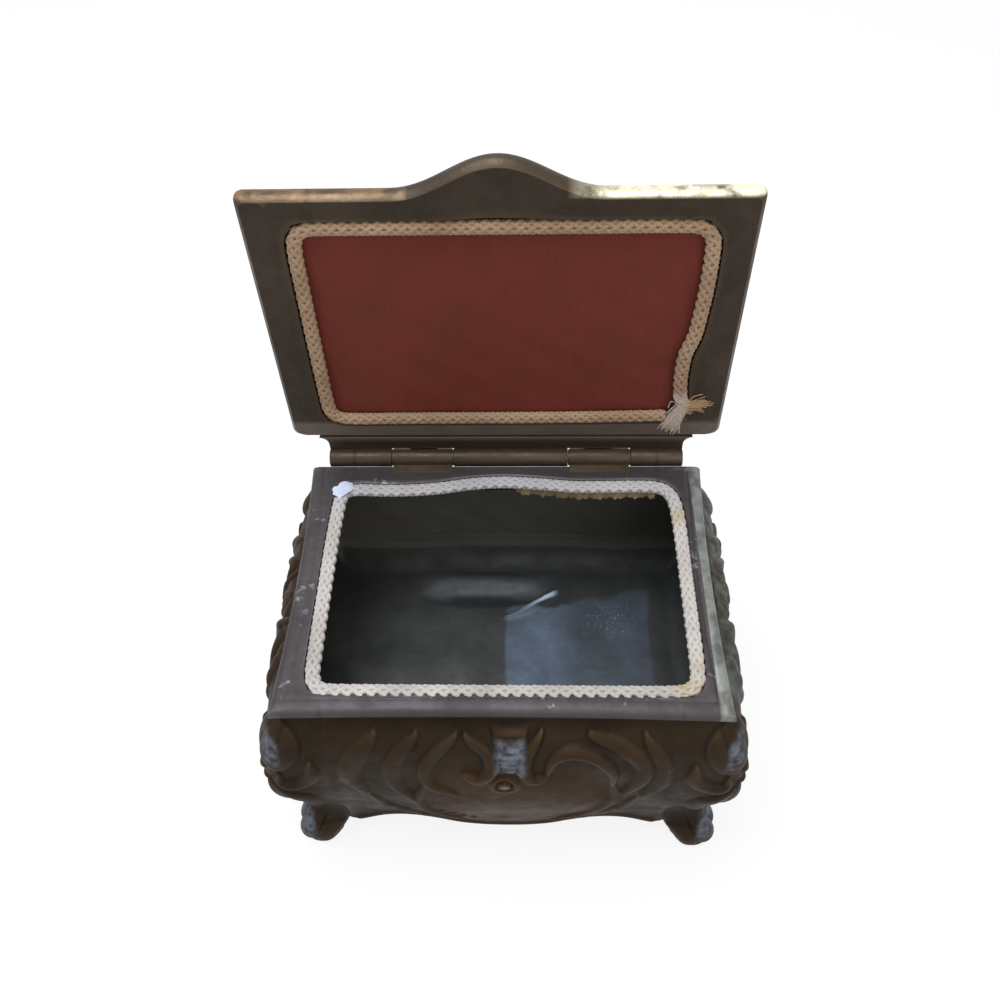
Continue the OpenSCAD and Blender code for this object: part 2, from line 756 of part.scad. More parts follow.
rim_frame();
front_panel();
back_panel();
left_panel();
right_panel();
front_left_corner();
front_right_corner();
back_left_corner();
back_right_corner();
floor_pan();
rim_hinge_leaf();
hinge_pin();
lid_hinge_leaf();
lid_casting();
lining_card();
lining_silk();
lid_cord();
lid_cord_end();
base_cord();
cord_joint_tape();
lining_remnant();
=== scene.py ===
# %% [markdown]
# # A cast metal keepsake box
# The box is a small casket of cast white metal with a dark bronze patina. Four curved walls
# and four corner castings with scroll feet carry a flat rim, and a heavy lid stands open on a
# three-part hinge. Braided cotton cord is glued round the rim and round the red silk in the lid.
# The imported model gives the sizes: every piece here is shaped in millimetres from the middle of
# the base, and placed in metres at the end.

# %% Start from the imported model
import functools
import json
import math
import bpy
import numpy as np
from mathutils import Matrix, Vector

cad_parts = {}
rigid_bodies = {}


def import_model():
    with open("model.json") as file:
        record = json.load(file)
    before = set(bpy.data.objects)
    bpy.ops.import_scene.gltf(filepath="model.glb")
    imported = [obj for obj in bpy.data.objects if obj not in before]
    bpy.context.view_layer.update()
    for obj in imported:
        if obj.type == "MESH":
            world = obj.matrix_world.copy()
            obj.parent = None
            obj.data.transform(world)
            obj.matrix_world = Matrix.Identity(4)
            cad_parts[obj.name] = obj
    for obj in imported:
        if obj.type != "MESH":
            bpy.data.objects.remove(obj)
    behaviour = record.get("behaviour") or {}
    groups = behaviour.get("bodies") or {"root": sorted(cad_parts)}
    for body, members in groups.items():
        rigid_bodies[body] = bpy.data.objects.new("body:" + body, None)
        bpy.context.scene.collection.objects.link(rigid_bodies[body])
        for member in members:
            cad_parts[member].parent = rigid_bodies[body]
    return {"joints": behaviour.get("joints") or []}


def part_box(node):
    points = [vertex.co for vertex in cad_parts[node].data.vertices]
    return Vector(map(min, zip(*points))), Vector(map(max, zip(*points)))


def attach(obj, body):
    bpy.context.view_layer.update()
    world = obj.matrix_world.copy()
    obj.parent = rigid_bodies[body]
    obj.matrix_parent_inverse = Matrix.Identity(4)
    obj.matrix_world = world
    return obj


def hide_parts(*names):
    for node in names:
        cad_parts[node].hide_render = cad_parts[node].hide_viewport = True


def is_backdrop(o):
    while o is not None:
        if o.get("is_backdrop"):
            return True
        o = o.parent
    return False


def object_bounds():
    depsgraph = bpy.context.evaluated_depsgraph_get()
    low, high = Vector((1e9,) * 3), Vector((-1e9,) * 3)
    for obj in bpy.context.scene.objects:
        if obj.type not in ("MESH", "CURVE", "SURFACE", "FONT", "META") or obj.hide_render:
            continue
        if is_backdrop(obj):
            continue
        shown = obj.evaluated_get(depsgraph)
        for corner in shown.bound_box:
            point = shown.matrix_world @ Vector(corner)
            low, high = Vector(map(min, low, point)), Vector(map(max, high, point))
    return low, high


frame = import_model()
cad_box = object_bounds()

MM = 0.001
rim_low, rim_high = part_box("rim_frame")
BASE_Y = (rim_low.y + rim_high.y) / 2 / MM
RIM_TOP = rim_high.z / MM
hinge = np.array(frame["joints"][0]["pos_m"]) / MM
print("rim", rim_low[:], rim_high[:], "hinge", hinge)

# %% [markdown]
# ## Camera
# The photograph was taken from above and in front, with a phone held close. The camera's place
# and turn were worked out from the four corners of the rim. The small shift puts the view's
# centre where the photograph has it.

# %% Camera
PITCH, YAW, ROLL = math.radians(49.83), math.radians(2.86), math.radians(-2.257)
EYE = Vector((7.1, BASE_Y - 132.4, RIM_TOP + 204.4)) * MM
LENS, SHIFT = 34.376, -0.0419
bpy.ops.object.camera_add()
camera = bpy.context.object
camera.matrix_world = (Matrix.Translation(EYE) @ Matrix.Rotation(YAW, 4, "Z")
                       @ Matrix.Rotation(math.pi / 2 - PITCH, 4, "X")
                       @ Matrix.Rotation(ROLL, 4, "Z"))
camera.data.lens = LENS
camera.data.shift_y = SHIFT
camera.data.clip_start = 0.01
bpy.context.scene.camera = camera
bpy.context.scene.view_settings.view_transform = "Standard"
print("camera at", EYE[:])

# %% [markdown]
# ## Helpers for nodes
# A material is a small network. One helper adds a node and sets its inputs by name, and the
# others mix, multiply or join sockets, so that each finish below reads as a short recipe.

# %% Node helpers
def add(tree, kind, **values):
    """Add a shader node, and set its properties and inputs by name."""
    made = tree.nodes.new("ShaderNode" + kind)
    for key, value in values.items():
        if hasattr(made, key):
            setattr(made, key, value)
        else:
            made.inputs[key.replace("_", " ")].default_value = value
    return made


def join(source, target):
    """Join two sockets of one tree."""
    source.id_data.links.new(source, target)


def give(value, socket):
    """Set an input to a plain value, or join a socket to it."""
    if isinstance(value, bpy.types.NodeSocket):
        join(value, socket)
    elif isinstance(value, tuple):
        socket.default_value = (*value, 1)
    else:
        socket.default_value = value


def tree_of(*values):
    """The tree of the first socket among some values."""
    return next(value.id_data for value in values if isinstance(value, bpy.types.NodeSocket))


def finish_material(name):
    """New material; returns it with its tree and its main shader."""
    material = bpy.data.materials.new(name)
    material.use_nodes = True
    tree = material.node_tree
    return material, tree, tree.nodes["Principled BSDF"]


def noise(tree, scale, detail=4, roughness=0.5, distortion=0.0, stretch=None):
    """Noise on the object's own coordinates; scale counts features per metre."""
    place = add(tree, "TexCoord").outputs["Object"]
    if stretch:
        mapping = add(tree, "Mapping", Scale=stretch)
        join(place, mapping.inputs["Vector"])
        place = mapping.outputs["Vector"]
    made = add(tree, "TexNoise", Scale=scale, Detail=detail, Roughness=roughness,
               Distortion=distortion)
    join(place, made.inputs["Vector"])
    return made.outputs["Fac"]


def ramp(source, *stops):
    """Colour ramp over a value; each stop is a place and a grey."""
    made = add(tree_of(source), "ValToRGB")
    elements = made.color_ramp.elements
    while len(elements) < len(stops):
        elements.new(0.5)
    for element, (place, grey) in zip(elements, stops):
        element.position = place
        element.color = (grey, grey, grey, 1)
    join(source, made.inputs["Fac"])
    return made.outputs["Color"]


def mix(share, a, b):
    """Mix two colours by a share; each may be a socket or a plain value."""
    made = add(tree_of(share, a, b), "Mix", data_type="RGBA")
    for value, place in ((share, 0), (a, 6), (b, 7)):
        give(value, made.inputs[place])
    return made.outputs[2]


def maths(kind, a, b=0.0, clamp=False):
    """One step of arithmetic on values or sockets."""
    made = add(tree_of(a, b), "Math", operation=kind, use_clamp=clamp)
    give(a, made.inputs[0])
    give(b, made.inputs[1])
    return made.outputs[0]


def product(*parts):
    """Values or sockets multiplied together."""
    return functools.reduce(lambda a, b: maths("MULTIPLY", a, b), parts)


def bump(shader, height, distance, strength=1.0, under=None):
    """Bump from a height, over an earlier bump if there is one."""
    made = add(tree_of(height), "Bump", Distance=distance, Strength=strength)
    join(height, made.inputs["Height"])
    if under:
        join(under, made.inputs["Normal"])
    join(made.outputs["Normal"], shader.inputs["Normal"])
    return made.outputs["Normal"]


def srgb(r, g, b):
    """A colour given as it is read on a screen, 0 to 255, as linear light."""
    return tuple(c / 12.92 if c <= 0.04045 else ((c + 0.055) / 1.055) ** 2.4
                 for c in (r / 255, g / 255, b / 255))


# %% [markdown]
# ## Light and floor
# The photograph is lit softly from high above: upward faces carry a cool sheen, and the front
# is in quiet shade. A pale world, one large lamp above, and a weak fill do the same. The floor
# shows white to the camera but still takes a little shadow.

# %% Light and floor
def white_to_camera(tree):
    """1 where a ray comes from the camera, off a gloss or through glass, and 0 elsewhere."""
    path = add(tree, "LightPath")
    seen = maths("ADD", path.outputs["Is Camera Ray"], path.outputs["Is Glossy Ray"])
    return maths("ADD", seen, path.outputs["Is Transmission Ray"], clamp=True)


world = bpy.data.worlds.new("studio")
bpy.context.scene.world = world
world.use_nodes = True
sky = world.node_tree
backdrop = sky.nodes["Background"]
backdrop.inputs["Color"].default_value = (*srgb(250, 250, 252), 1)
SKY_LEVEL, SHOWN_LEVEL = 0.5, 1.0
shown = product(white_to_camera(sky), SHOWN_LEVEL - SKY_LEVEL)
join(maths("ADD", shown, SKY_LEVEL), backdrop.inputs["Strength"])


def lamp(name, place, aim, size, power, colour):
    """Square area lamp at a place in millimetres, turned towards a point."""
    bpy.ops.object.light_add(type="AREA")
    made = bpy.context.object
    made.name = name
    made.data.size = size
    made.data.energy = power
    made.data.color = colour
    place, aim = Vector(place) * MM, Vector(aim) * MM
    turn = (place - aim).to_track_quat("Z", "Y").to_matrix().to_4x4()
    made.matrix_world = Matrix.Translation(place) @ turn


lamp("window", (-160, 40, 900), (0, 0, 40), 0.6, 9.0, (0.9, 0.95, 1.0))
lamp("fill", (500, -700, 700), (0, 0, 40), 0.8, 3.5, (1.0, 0.93, 0.84))

bpy.ops.mesh.primitive_plane_add(size=6, location=(0, 0, -0.0002))
floor = bpy.context.object
floor.name = "floor"
floor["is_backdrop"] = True
floor_paint, tree, shader = finish_material("floor_paint")
shader.inputs["Base Color"].default_value = (0.85, 0.85, 0.85, 1)
shader.inputs["Roughness"].default_value = 0.9
glow = add(tree, "Emission", Color=(1, 1, 1, 1), Strength=1.0)
blend = add(tree, "MixShader")
FLOOR_WHITE = 0.86
join(product(white_to_camera(tree), FLOOR_WHITE), blend.inputs[0])
join(shader.outputs[0], blend.inputs[1])
join(glow.outputs[0], blend.inputs[2])
join(blend.outputs[0], tree.nodes["Material Output"].inputs["Surface"])
floor.data.materials.append(floor_paint)

# %% [markdown]
# ## Shapes from plates
# A casting is a thin plate: a grid with another grid behind it. `plate` makes one from a grid
# primitive, extruded once, and gives each corner's place on the grid. `shape` then moves the
# corners to their places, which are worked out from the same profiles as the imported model.

# %% Plates and smooth curves
def edit(obj, *steps):
    """Run mesh operators on one object in edit mode."""
    bpy.ops.object.select_all(action="DESELECT")
    obj.select_set(True)
    bpy.context.view_layer.objects.active = obj
    bpy.ops.object.mode_set(mode="EDIT")
    bpy.ops.mesh.select_all(action="SELECT")
    for step in steps:
        step()
    bpy.ops.object.mode_set(mode="OBJECT")


def tell(*objects):
    """Print how many faces each piece has."""
    for obj in objects:
        print(obj.name, len(obj.data.polygons), "faces")


def corners_of(obj):
    """Places of a mesh's corners, one row each."""
    places = np.empty(len(obj.data.vertices) * 3)
    obj.data.vertices.foreach_get("co", places)
    return places.reshape(-1, 3)


def shape(obj, places, smooth_angle=50):
    """Move an object's corners to places in millimetres from the middle of the base."""
    metres = (np.asarray(places) + (0, BASE_Y, 0)) * MM
    obj.data.vertices.foreach_set("co", metres.ravel())
    obj.data.update()
    edit(obj, lambda: bpy.ops.mesh.normals_make_consistent(inside=False))
    bpy.ops.object.shade_smooth_by_angle(angle=math.radians(smooth_angle))
    return obj


def plate(name, columns, rows):
    """Closed plate; returns it, with u and v from -1 to 1 and whether a corner is in front."""
    bpy.ops.mesh.primitive_grid_add(x_subdivisions=columns, y_subdivisions=rows, size=2)
    obj = bpy.context.object
    obj.name = name
    edit(obj, lambda: bpy.ops.mesh.extrude_region_move(
        TRANSFORM_OT_translate={"value": (0, 0, 1)}))
    u, v, depth = corners_of(obj).T
    return obj, u, v, depth > 0.5


def smooth(x, table):
    """Smooth curve through a table of places and values, for a whole array of places."""
    table = np.asarray(table, float)
    xs, ys = table[:, 0], table[:, 1]
    slope = np.gradient(ys, xs)
    x = np.clip(x, xs[0], xs[-1])
    k = np.clip(np.searchsorted(xs, x) - 1, 0, len(xs) - 2)
    step = xs[k + 1] - xs[k]
    t = (x - xs[k]) / step
    return ((2 * t**3 - 3 * t**2 + 1) * ys[k] + (t**3 - 2 * t**2 + t) * step * slope[k]
            + (3 * t**2 - 2 * t**3) * ys[k + 1] + (t**3 - t**2) * step * slope[k + 1])


def ease(x, start, end):
    """0 before start, 1 after end, smooth between."""
    t = np.clip((x - start) / (end - start), 0, 1)
    return t * t * (3 - 2 * t)


def along(points, per_span=8, closed=False):
    """Smooth line through drawn points."""
    p = np.asarray(points, float)
    ends = (p[-1:], p[:2]) if closed else (2 * p[0] - p[1], 2 * p[-1] - p[-2])
    q = np.vstack([ends[0], p, ends[1]])
    t = np.linspace(0, 1, per_span, endpoint=False)[:, None]
    line = [0.5 * (2 * b + (c - a) * t + (2 * a - 5 * b + 4 * c - d) * t**2
                   + (3 * b - a - 3 * c + d) * t**3)
            for a, b, c, d in zip(q, q[1:], q[2:], q[3:])]
    return np.vstack(line if closed else line + [p[-1:]])


def evenly(line, count):
    """Points at even distances along a line, and its length."""
    run = np.r_[0, np.cumsum(np.linalg.norm(np.diff(line, axis=0), axis=1))]
    at = np.linspace(0, run[-1], count)
    return np.stack([np.interp(at, run, c) for c in line.T], 1), run[-1]


def polar(line):
    """Radius of a closed line round the middle, as a function of the angle."""
    line = np.vstack([line, line[:1]])
    dense, _ = evenly(line, 2400)
    angle = np.arctan2(dense[:, 1], dense[:, 0])
    order = np.argsort(angle)
    return lambda a: np.interp(a, angle[order], np.hypot(*dense[order].T), period=2 * math.pi)


# %% [markdown]
# ## Relief
# The ornament is drawn as lines on a wall, in millimetres across and down. Each line becomes a
# round raised band that thins to its ends, and beads become domes. Where two overlap, the
# higher one shows.

# %% Relief
def ridge(x, y, line, width, height, ends=0.35, ribs=0):
    """Raised band along a line; ribs cuts that many grooves across it."""
    best, place = np.full(x.shape, 99.0), np.zeros(x.shape)
    for k, (p, q) in enumerate(zip(line, line[1:])):
        d = q - p
        share = np.clip(((x - p[0]) * d[0] + (y - p[1]) * d[1]) / (d @ d), 0, 1)
        far = np.hypot(x - p[0] - share * d[0], y - p[1] - share * d[1])
        place = np.where(far < best, (k + share) / (len(line) - 1), place)
        best = np.minimum(best, far)
    swell = ends + (1 - ends) * np.sin(math.pi * np.clip(place, 0, 1)) ** 0.7
    across = np.clip(1 - (best / (width / 2 * swell)) ** 2, 0, 1)
    lift = height * (0.5 + 0.5 * swell) * across ** 0.95
    if ribs:
        lift = lift * (0.72 + 0.28 * np.abs(np.sin(math.pi * ribs * place)))
    return lift


def dome(x, y, cx, cy, rx, ry, height):
    """Half a ball, or of an egg, on the surface."""
    return height * np.sqrt(np.clip(1 - ((x - cx) / rx) ** 2 - ((y - cy) / ry) ** 2, 0, 1))


def ring(x, y, cx, cy, r, width, height):
    """Round raised band along a circle."""
    return height * np.clip(1 - ((np.hypot(x - cx, y - cy) - r) / width) ** 2, 0, 1) ** 0.6


def curl(cx, cy, radius, start, turns):
    """Spiral line that winds in to a centre; start in degrees, turns may be negative."""
    t = np.linspace(0, 1, 22)
    a = math.radians(start) + 2 * math.pi * turns * t
    r = radius * (1 - 0.86 * t)
    return np.stack([cx + r * np.cos(a), cy + r * np.sin(a)], 1)


def highest(*lifts):
    """The greatest of several heights, at each place."""
    return functools.reduce(np.maximum, lifts)


def scrolls(x, y, drawn):
    """Highest of many bands; each entry is a line of points, a width and a height."""
    lift = np.zeros(x.shape)
    for points, width, height, *ribs in drawn:
        line = along(points, 6) if len(points) < 12 else np.asarray(points)
        near = ((x > line[:, 0].min() - width) & (x < line[:, 0].max() + width)
                & (y > line[:, 1].min() - width) & (y < line[:, 1].max() + width))
        lift[near] = np.maximum(lift[near], ridge(x[near], y[near], line, width, height,
                                                  ribs=ribs[0] if ribs else 0))
    return lift


# %% [markdown]
# ## Profiles of the box
# How far the walls swell at each share of their height, where their lower edge runs, and how the
# feet grow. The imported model's own profiles are the same, so the pieces stay inside it.

# %% Profiles
HALF_W, HALF_D, RIM_T = 54.0, 37.0, 4.0
WALL_TOP, WALL_H, WALL_T = RIM_TOP - RIM_T, 49.0, 2.4
CORNER_LEN, CORNER_R, SWELL = 12.0, 8.0, 6.0
PINCH_LONG, PINCH_SHORT, SIDE_SWELL = 0.7, 1.2, 1.0
MID = [(0, -.35), (.05, -.1), (.1, .35), (.15, .65), (.25, .88), (.36, 1), (.5, 1.03), (.7, .95),
       (.9, .75), (1, .65), (1.2, .55)]
CORNER = [(0, -.25), (.08, .1), (.15, .37), (.25, .67), (.36, .93), (.48, 1.1), (.6, 1.14),
          (.73, .97), (.86, .62), (1, .36), (1.2, .3)]
APRON = [(0, 1.1), (.16, 1.09), (.31, 1.04), (.4, .969), (.5, .927), (.6, .945), (.69, .98),
         (.79, 1.03), (.9, 1.1), (1, 1.16)]
FOOT_SIZE = [(0, .74), (.08, .88), (.18, .98), (.31, 1), (.46, .96), (.61, .86), (.78, .76),
             (1, .7), (1.4, .66)]
FOOT_DRAW = [(0, 0), (.31, 0), (.46, .3), (.61, .9), (.78, 1.6), (1, 2.2), (1.4, 2.6)]
BOX_X, FRONT_Y = cad_box[1][0] / MM - 0.02, cad_box[0][1] / MM - BASE_Y + 0.02


def corner_out(t):
    """How far the corners swell out at a share t of the walls' height."""
    return SWELL * smooth(t, CORNER)


def wall_face(a, t, half_a, half_out, pinch, more):
    """Distance of a wall's outer face from the box's middle, at a along the wall."""
    u = a / (half_a + corner_out(t) - CORNER_R)
    k = np.minimum(np.abs(u), 1) ** 4
    mid = smooth(t, MID)
    return (half_out + (more * mid - pinch) * (1 - u * u)
            + SWELL * (mid * (1 - k) + smooth(t, CORNER) * k))


def cartouche(a, t):
    """Smooth swelling in the middle of a long wall."""
    return 2.4 * np.exp(-((a / 27) ** 2 + ((t - 0.72) / 0.42) ** 2) ** 2)


def lifted(place, p, q, lift, towards):
    """Points of place(p, q), raised by lift along the surface's own direction."""
    step = 1e-3
    n = np.cross(place(p + step, q) - place(p - step, q), place(p, q + step) - place(p, q - step))
    n /= np.linalg.norm(n, axis=1)[:, None]
    n *= np.where((n * towards).sum(1) < 0, -1, 1)[:, None]
    return place(p, q) + n * lift[:, None]


def inside_box(points):
    """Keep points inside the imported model's outline."""
    points[:, 0] = np.clip(points[:, 0], -BOX_X, BOX_X)
    points[:, 1] = np.maximum(points[:, 1], FRONT_Y)
    return points


print("half the box", BOX_X, "front", FRONT_Y)

# %% [markdown]
# ## The four walls
# The photograph shows the front wall's upper half: a ribbed keystone, two scrolls beside it, a
# bead, and long bands round a smooth cartouche. The other walls aren't seen well, so they carry
# a plainer version of the same ornament.

# %% Walls
FRONT_DRAWN = [
    ([(-8.4, 4.4), (-3.4, 8), (-2.6, 13.4), (-5.4, 17.2), (-9, 15.4)], 4.6, 1.7),
    ([(-10.5, 4.2), (-15.6, 8.4), (-18.6, 14.5), (-17.4, 21), (-11.4, 25)], 4.4, 1.4),
    ([(9.6, 3.6), (6.2, 8.6), (5.4, 13.4), (7.4, 17.2), (11, 15.6)], 4.6, 1.7),
    ([(10.8, 15), (12.6, 9.8), (17.2, 7.8), (22.4, 9.6), (26.4, 14.6), (26.8, 20.4)], 4.4, 1.5),
    ([(-20, 4.2), (-24.5, 9), (-26.6, 16), (-25.4, 24), (-20.6, 31)], 5.6, 1.2),
    ([(21, 4), (28.6, 6.2), (33.4, 11.4), (33.8, 18.4), (30, 26)], 5.6, 1.5),
    ([(-30, 4.2), (-35, 10), (-37, 18), (-34, 28)], 6.4, 1.1),
    ([(34, 4), (38, 11), (38.4, 20), (34.6, 29)], 5.6, 1.1),
    ([(26.6, 19), (27.4, 29), (23.4, 38.6), (14.6, 45)], 3.6, 0.9),
    ([(-18.4, 20), (-21.4, 30), (-18.6, 39), (-11, 45.6)], 3.6, 0.9),
]
FRONT_DRAWN += [([(side * 33, 30), (side * 29.6, 38), (side * 22, 44.6), (side * 13, 48.6)],
                 4.2, 0.8, 5) for side in (-1, 1)]


def keystone(x, y):
    """Ribbed wedge under the middle of the rim."""
    half = 4.3 - 0.25 * (y - 4)
    inside = np.clip(1 - ((x - 2.1) / half) ** 2, 0, 1) ** 0.4
    ribs = 1.0 + 0.5 * np.abs(np.cos(math.pi * (y - 4.1) / 1.5))
    return inside * ease(y, 2.4, 3.4) * ease(y, 14.4, 13) * ribs


def front_relief(x, y):
    """Bands, keystone, ringed bead, and two rows of small beads over the lower edge."""
    beads = [dome(x, y, 4 + sign * (12 + 2.6 * k), 44.8 - 2.1 * k, 1, 0.9, 0.5)
             for sign in (-1, 1) for k in range(4)]
    return highest(scrolls(x, y, FRONT_DRAWN), keystone(x, y), *beads,
                   dome(x, y, 0.6, 19.6, 1.7, 1.6, 1.9), ring(x, y, 0.6, 19.6, 3.0, 0.8, 0.7))


def plain_drawn(h):
    """Bands of a wall that the photograph doesn't show, even on both sides; h is half its width."""
    one = [
        ([(7.5, 3.4), (6, 8.5), (4.8, 13.6), (7, 17.8), (10.4, 16.4)], 3.2, 1.3),
        ([(0.3 * h, 9), (0.46 * h, 7), (0.64 * h, 13), (0.66 * h, 23)], 3.2, 1.2),
        ([(0.54 * h, 3.4), (0.74 * h, 6.4), (0.87 * h, 14.5), (0.84 * h, 26)], 4.6, 1.3, 5),
        ([(0.66 * h, 22), (0.65 * h, 32), (0.47 * h, 41), (0.24 * h, 45.6)], 2.8, 0.9),
        ([(0.83 * h, 31), (0.7 * h, 39.6), (0.5 * h, 45.6), (0.28 * h, 48.6)], 3.4, 0.8, 5),
    ]
    return one + [([(-x, y) for x, y in e[0]], *e[1:]) for e in one]


def plain_relief(half):
    """Relief of a plain wall: its bands, a fluted shell under the rim, and a bead."""
    drawn = plain_drawn(half)

    def relief(x, y):
        shell = np.clip(1 - (np.hypot(x, y - 3.2) / 6.6) ** 4, 0, 1) ** 0.5 * (y > 3.2)
        fan = 0.55 + 0.45 * np.abs(np.cos(6 * np.arctan2(x, np.maximum(y - 3.2, 1e-3))))
        return highest(scrolls(x, y, drawn), 1.1 * shell * fan, dome(x, y, 0, 20.5, 1.5, 1.5, 1.1))
    return relief


def wall(name, half_a, half_out, pinch, more, boss, columns, relief, turn):
    """One wall between two corners, drawn as the front one and then turned."""
    obj, u, v, outside = plate(name, columns, 130)
    joint = half_a - CORNER_LEN
    a, share = joint * u, (1 - v) / 2
    edge = smooth(np.abs(u), APRON) - 0.025 * ease(np.abs(u), 0.93, 1)
    t = edge * share

    def place(a, t, back=0.0, follow=1.0):
        y = back - wall_face(a, t, half_a, half_out, pinch, more) - follow * boss * cartouche(a, t)
        return np.stack([a, y, WALL_TOP - t * WALL_H], 1)

    depth = t * WALL_H
    lift = relief(a, depth)
    hem = np.exp(-((edge - t) * WALL_H / 1.1) ** 2)
    lift = np.maximum(lift, 0.7 * hem) - 0.35 * ease(depth, 12, 26)
    lift *= ease(joint - np.abs(a), 0, 2.4) * ease(depth, 0.2, 2.5)
    outer = lifted(place, a, t, lift, np.array([0, -1, 0]))
    inner = place(a, t, WALL_T, 0.6)
    inner[:, 1] += 0.12 * np.sin(a / 2.3 + 2 * np.sin(depth / 4)) * ease(joint - np.abs(a), 0, 4)
    places = np.where(outside[:, None], outer, inner)
    places = places @ np.array(Matrix.Rotation(math.radians(turn), 3, "Z")).T
    return shape(obj, inside_box(places), 60)


front = wall("front_wall", HALF_W, HALF_D, PINCH_LONG, 0, 1, 230, front_relief, 0)
back = wall("back_wall", HALF_W, HALF_D, PINCH_LONG, 0, 1, 200, plain_relief(42), 180)
left = wall("left_wall", HALF_D, HALF_W, PINCH_SHORT, SIDE_SWELL, 0, 130, plain_relief(25), -90)
right = wall("right_wall", HALF_D, HALF_W, PINCH_SHORT, SIDE_SWELL, 0, 130, plain_relief(25), 90)
tell(front, back, left, right)

# %% [markdown]
# ## Corners and feet
# A corner casting runs from one wall round to the next and draws together into a scroll foot.
# A fluted knob sits on its shoulder, with hooks, two leaves and a spine below it, and the foot is
# made of thick lobes.

# %% Corners
FOOT_START, FOOT_H = 0.82, 18.0
FOOT_X, FOOT_Y, FOOT_RX, FOOT_RY = HALF_W + 4.4 - 6.5, HALF_D + 6.4 - 6, 6.5, 6.0
PAD_R, FOOT_WEB = 3.6, 2.6
# The share of a corner that runs on along each wall, and its length from wall to wall.
STRAIGHT, AROUND = 0.26, 29.0
print("foot", 2 * FOOT_RX, "by", 2 * FOOT_RY, "mm, at", FOOT_X, FOOT_Y)


def corner_point(s, t, inset):
    """Point on the corner's face: s runs from 0 at the long wall to 1 at the short one.

    Up to STRAIGHT, and from 1 - STRAIGHT on, it goes on along a wall; between them it is round.
    """
    joint_x, joint_y = HALF_W - CORNER_LEN, HALF_D - CORNER_LEN
    cx, cy = HALF_W + corner_out(t) - CORNER_R, HALF_D + corner_out(t) - CORNER_R
    x = joint_x + (cx - joint_x) * np.clip(s / STRAIGHT, 0, 1)
    y = joint_y + (cy - joint_y) * np.clip((1 - s) / STRAIGHT, 0, 1)
    turn = np.radians(-90 + 90 * np.clip((s - STRAIGHT) / (1 - 2 * STRAIGHT), 0, 1))
    long_face = inset - wall_face(x, t, HALF_W, HALF_D, PINCH_LONG, 0)
    short_face = wall_face(y, t, HALF_D, HALF_W, PINCH_SHORT, SIDE_SWELL) - inset
    r = CORNER_R - inset
    on_long, on_short = s < STRAIGHT, s > 1 - STRAIGHT
    px = np.where(on_long, x, np.where(on_short, short_face, cx + r * np.cos(turn)))
    py = np.where(on_long, long_face, np.where(on_short, -y, -cy + r * np.sin(turn)))
    return px, py


def corner_grid(s, t, outside):
    """Corner casting over s and t; t runs on past the walls' lower edge, down the foot."""
    z = np.maximum(WALL_TOP - t * WALL_H, 0)
    share = z / FOOT_H
    size, draw = smooth(share, FOOT_SIZE), smooth(share, FOOT_DRAW)
    angle = np.radians(np.where(outside, 240 * s - 165, 165 - 60 * s))
    rx, ry = FOOT_RX * size, FOOT_RY * size
    pad = ease(-z, -1.1, -0.5)
    rx, ry = rx + (PAD_R - rx) * pad, ry + (PAD_R - ry) * pad
    fx = FOOT_X - draw + rx * np.cos(angle)
    fy = -FOOT_Y + draw + ry * np.sin(angle)
    web = FOOT_WEB * ease(z, 3, 11.5)
    fx = fx - web * ease(STRAIGHT - s, 0, 0.2)
    fy = fy + web * ease(s - (1 - STRAIGHT), 0, 0.2)
    sx, sy = corner_point(s, np.minimum(t, 1.2), np.where(outside, 0, WALL_T))
    way = np.clip((t - FOOT_START) / (1.16 - FOOT_START), 0, 1)
    k = np.where(way < 1, way * np.sin(math.pi * (0.02 + 0.96 * s)), 1)
    k = k + (1 - k) * ease(way, 0.93, 1.0)
    return np.stack([sx * (1 - k) + fx * k, sy * (1 - k) + fy * k, z], 1)


def corner_relief(w, depth, s, z):
    """Fluted knob and scrolls on the shoulder, and lobes on the foot; w is mm round the corner."""
    flutes = np.abs(np.cos(7 * np.arctan2(w, np.maximum(depth + 3, 1e-3)))) ** 0.7
    knob = dome(w, depth, 0, 10.5, 8.2, 7.4, 2.2) * (0.76 + 0.24 * flutes)
    groove = along([(-9, 14), (-4.6, 18.2), (0, 19.4), (4.6, 18.2), (9, 14)])
    hook = along([(10.6, 13), (11, 18), (8.4, 22.4), (4.6, 22), (3.8, 18.8)])
    leaf = along([(2, 25), (9, 31), (8, 40), (2.4, 49)])
    lift = highest(knob - ridge(w, depth, groove, 3.0, 0.9),
                   *(ridge(w, depth, hook * (sign, 1), 4.6, 1.3) for sign in (-1, 1)),
                   *(ridge(w, depth, leaf * (sign, 1), 4.6, 0.9) for sign in (-1, 1)),
                   ridge(w, depth, along([(0, 24), (0, 34), (0, 47)]), 5.0, 0.9, 0.5))
    lobes = np.abs(np.sin(math.pi * (3 * s + 0.55 * z / FOOT_H - 0.2))) ** 0.7
    foot = ease(-z, -19, -11) * ease(z, 0.8, 3.0)
    return lift * ease(depth, 0.2, 2) * (1 - foot) + foot * (1.15 * lobes - 0.7)


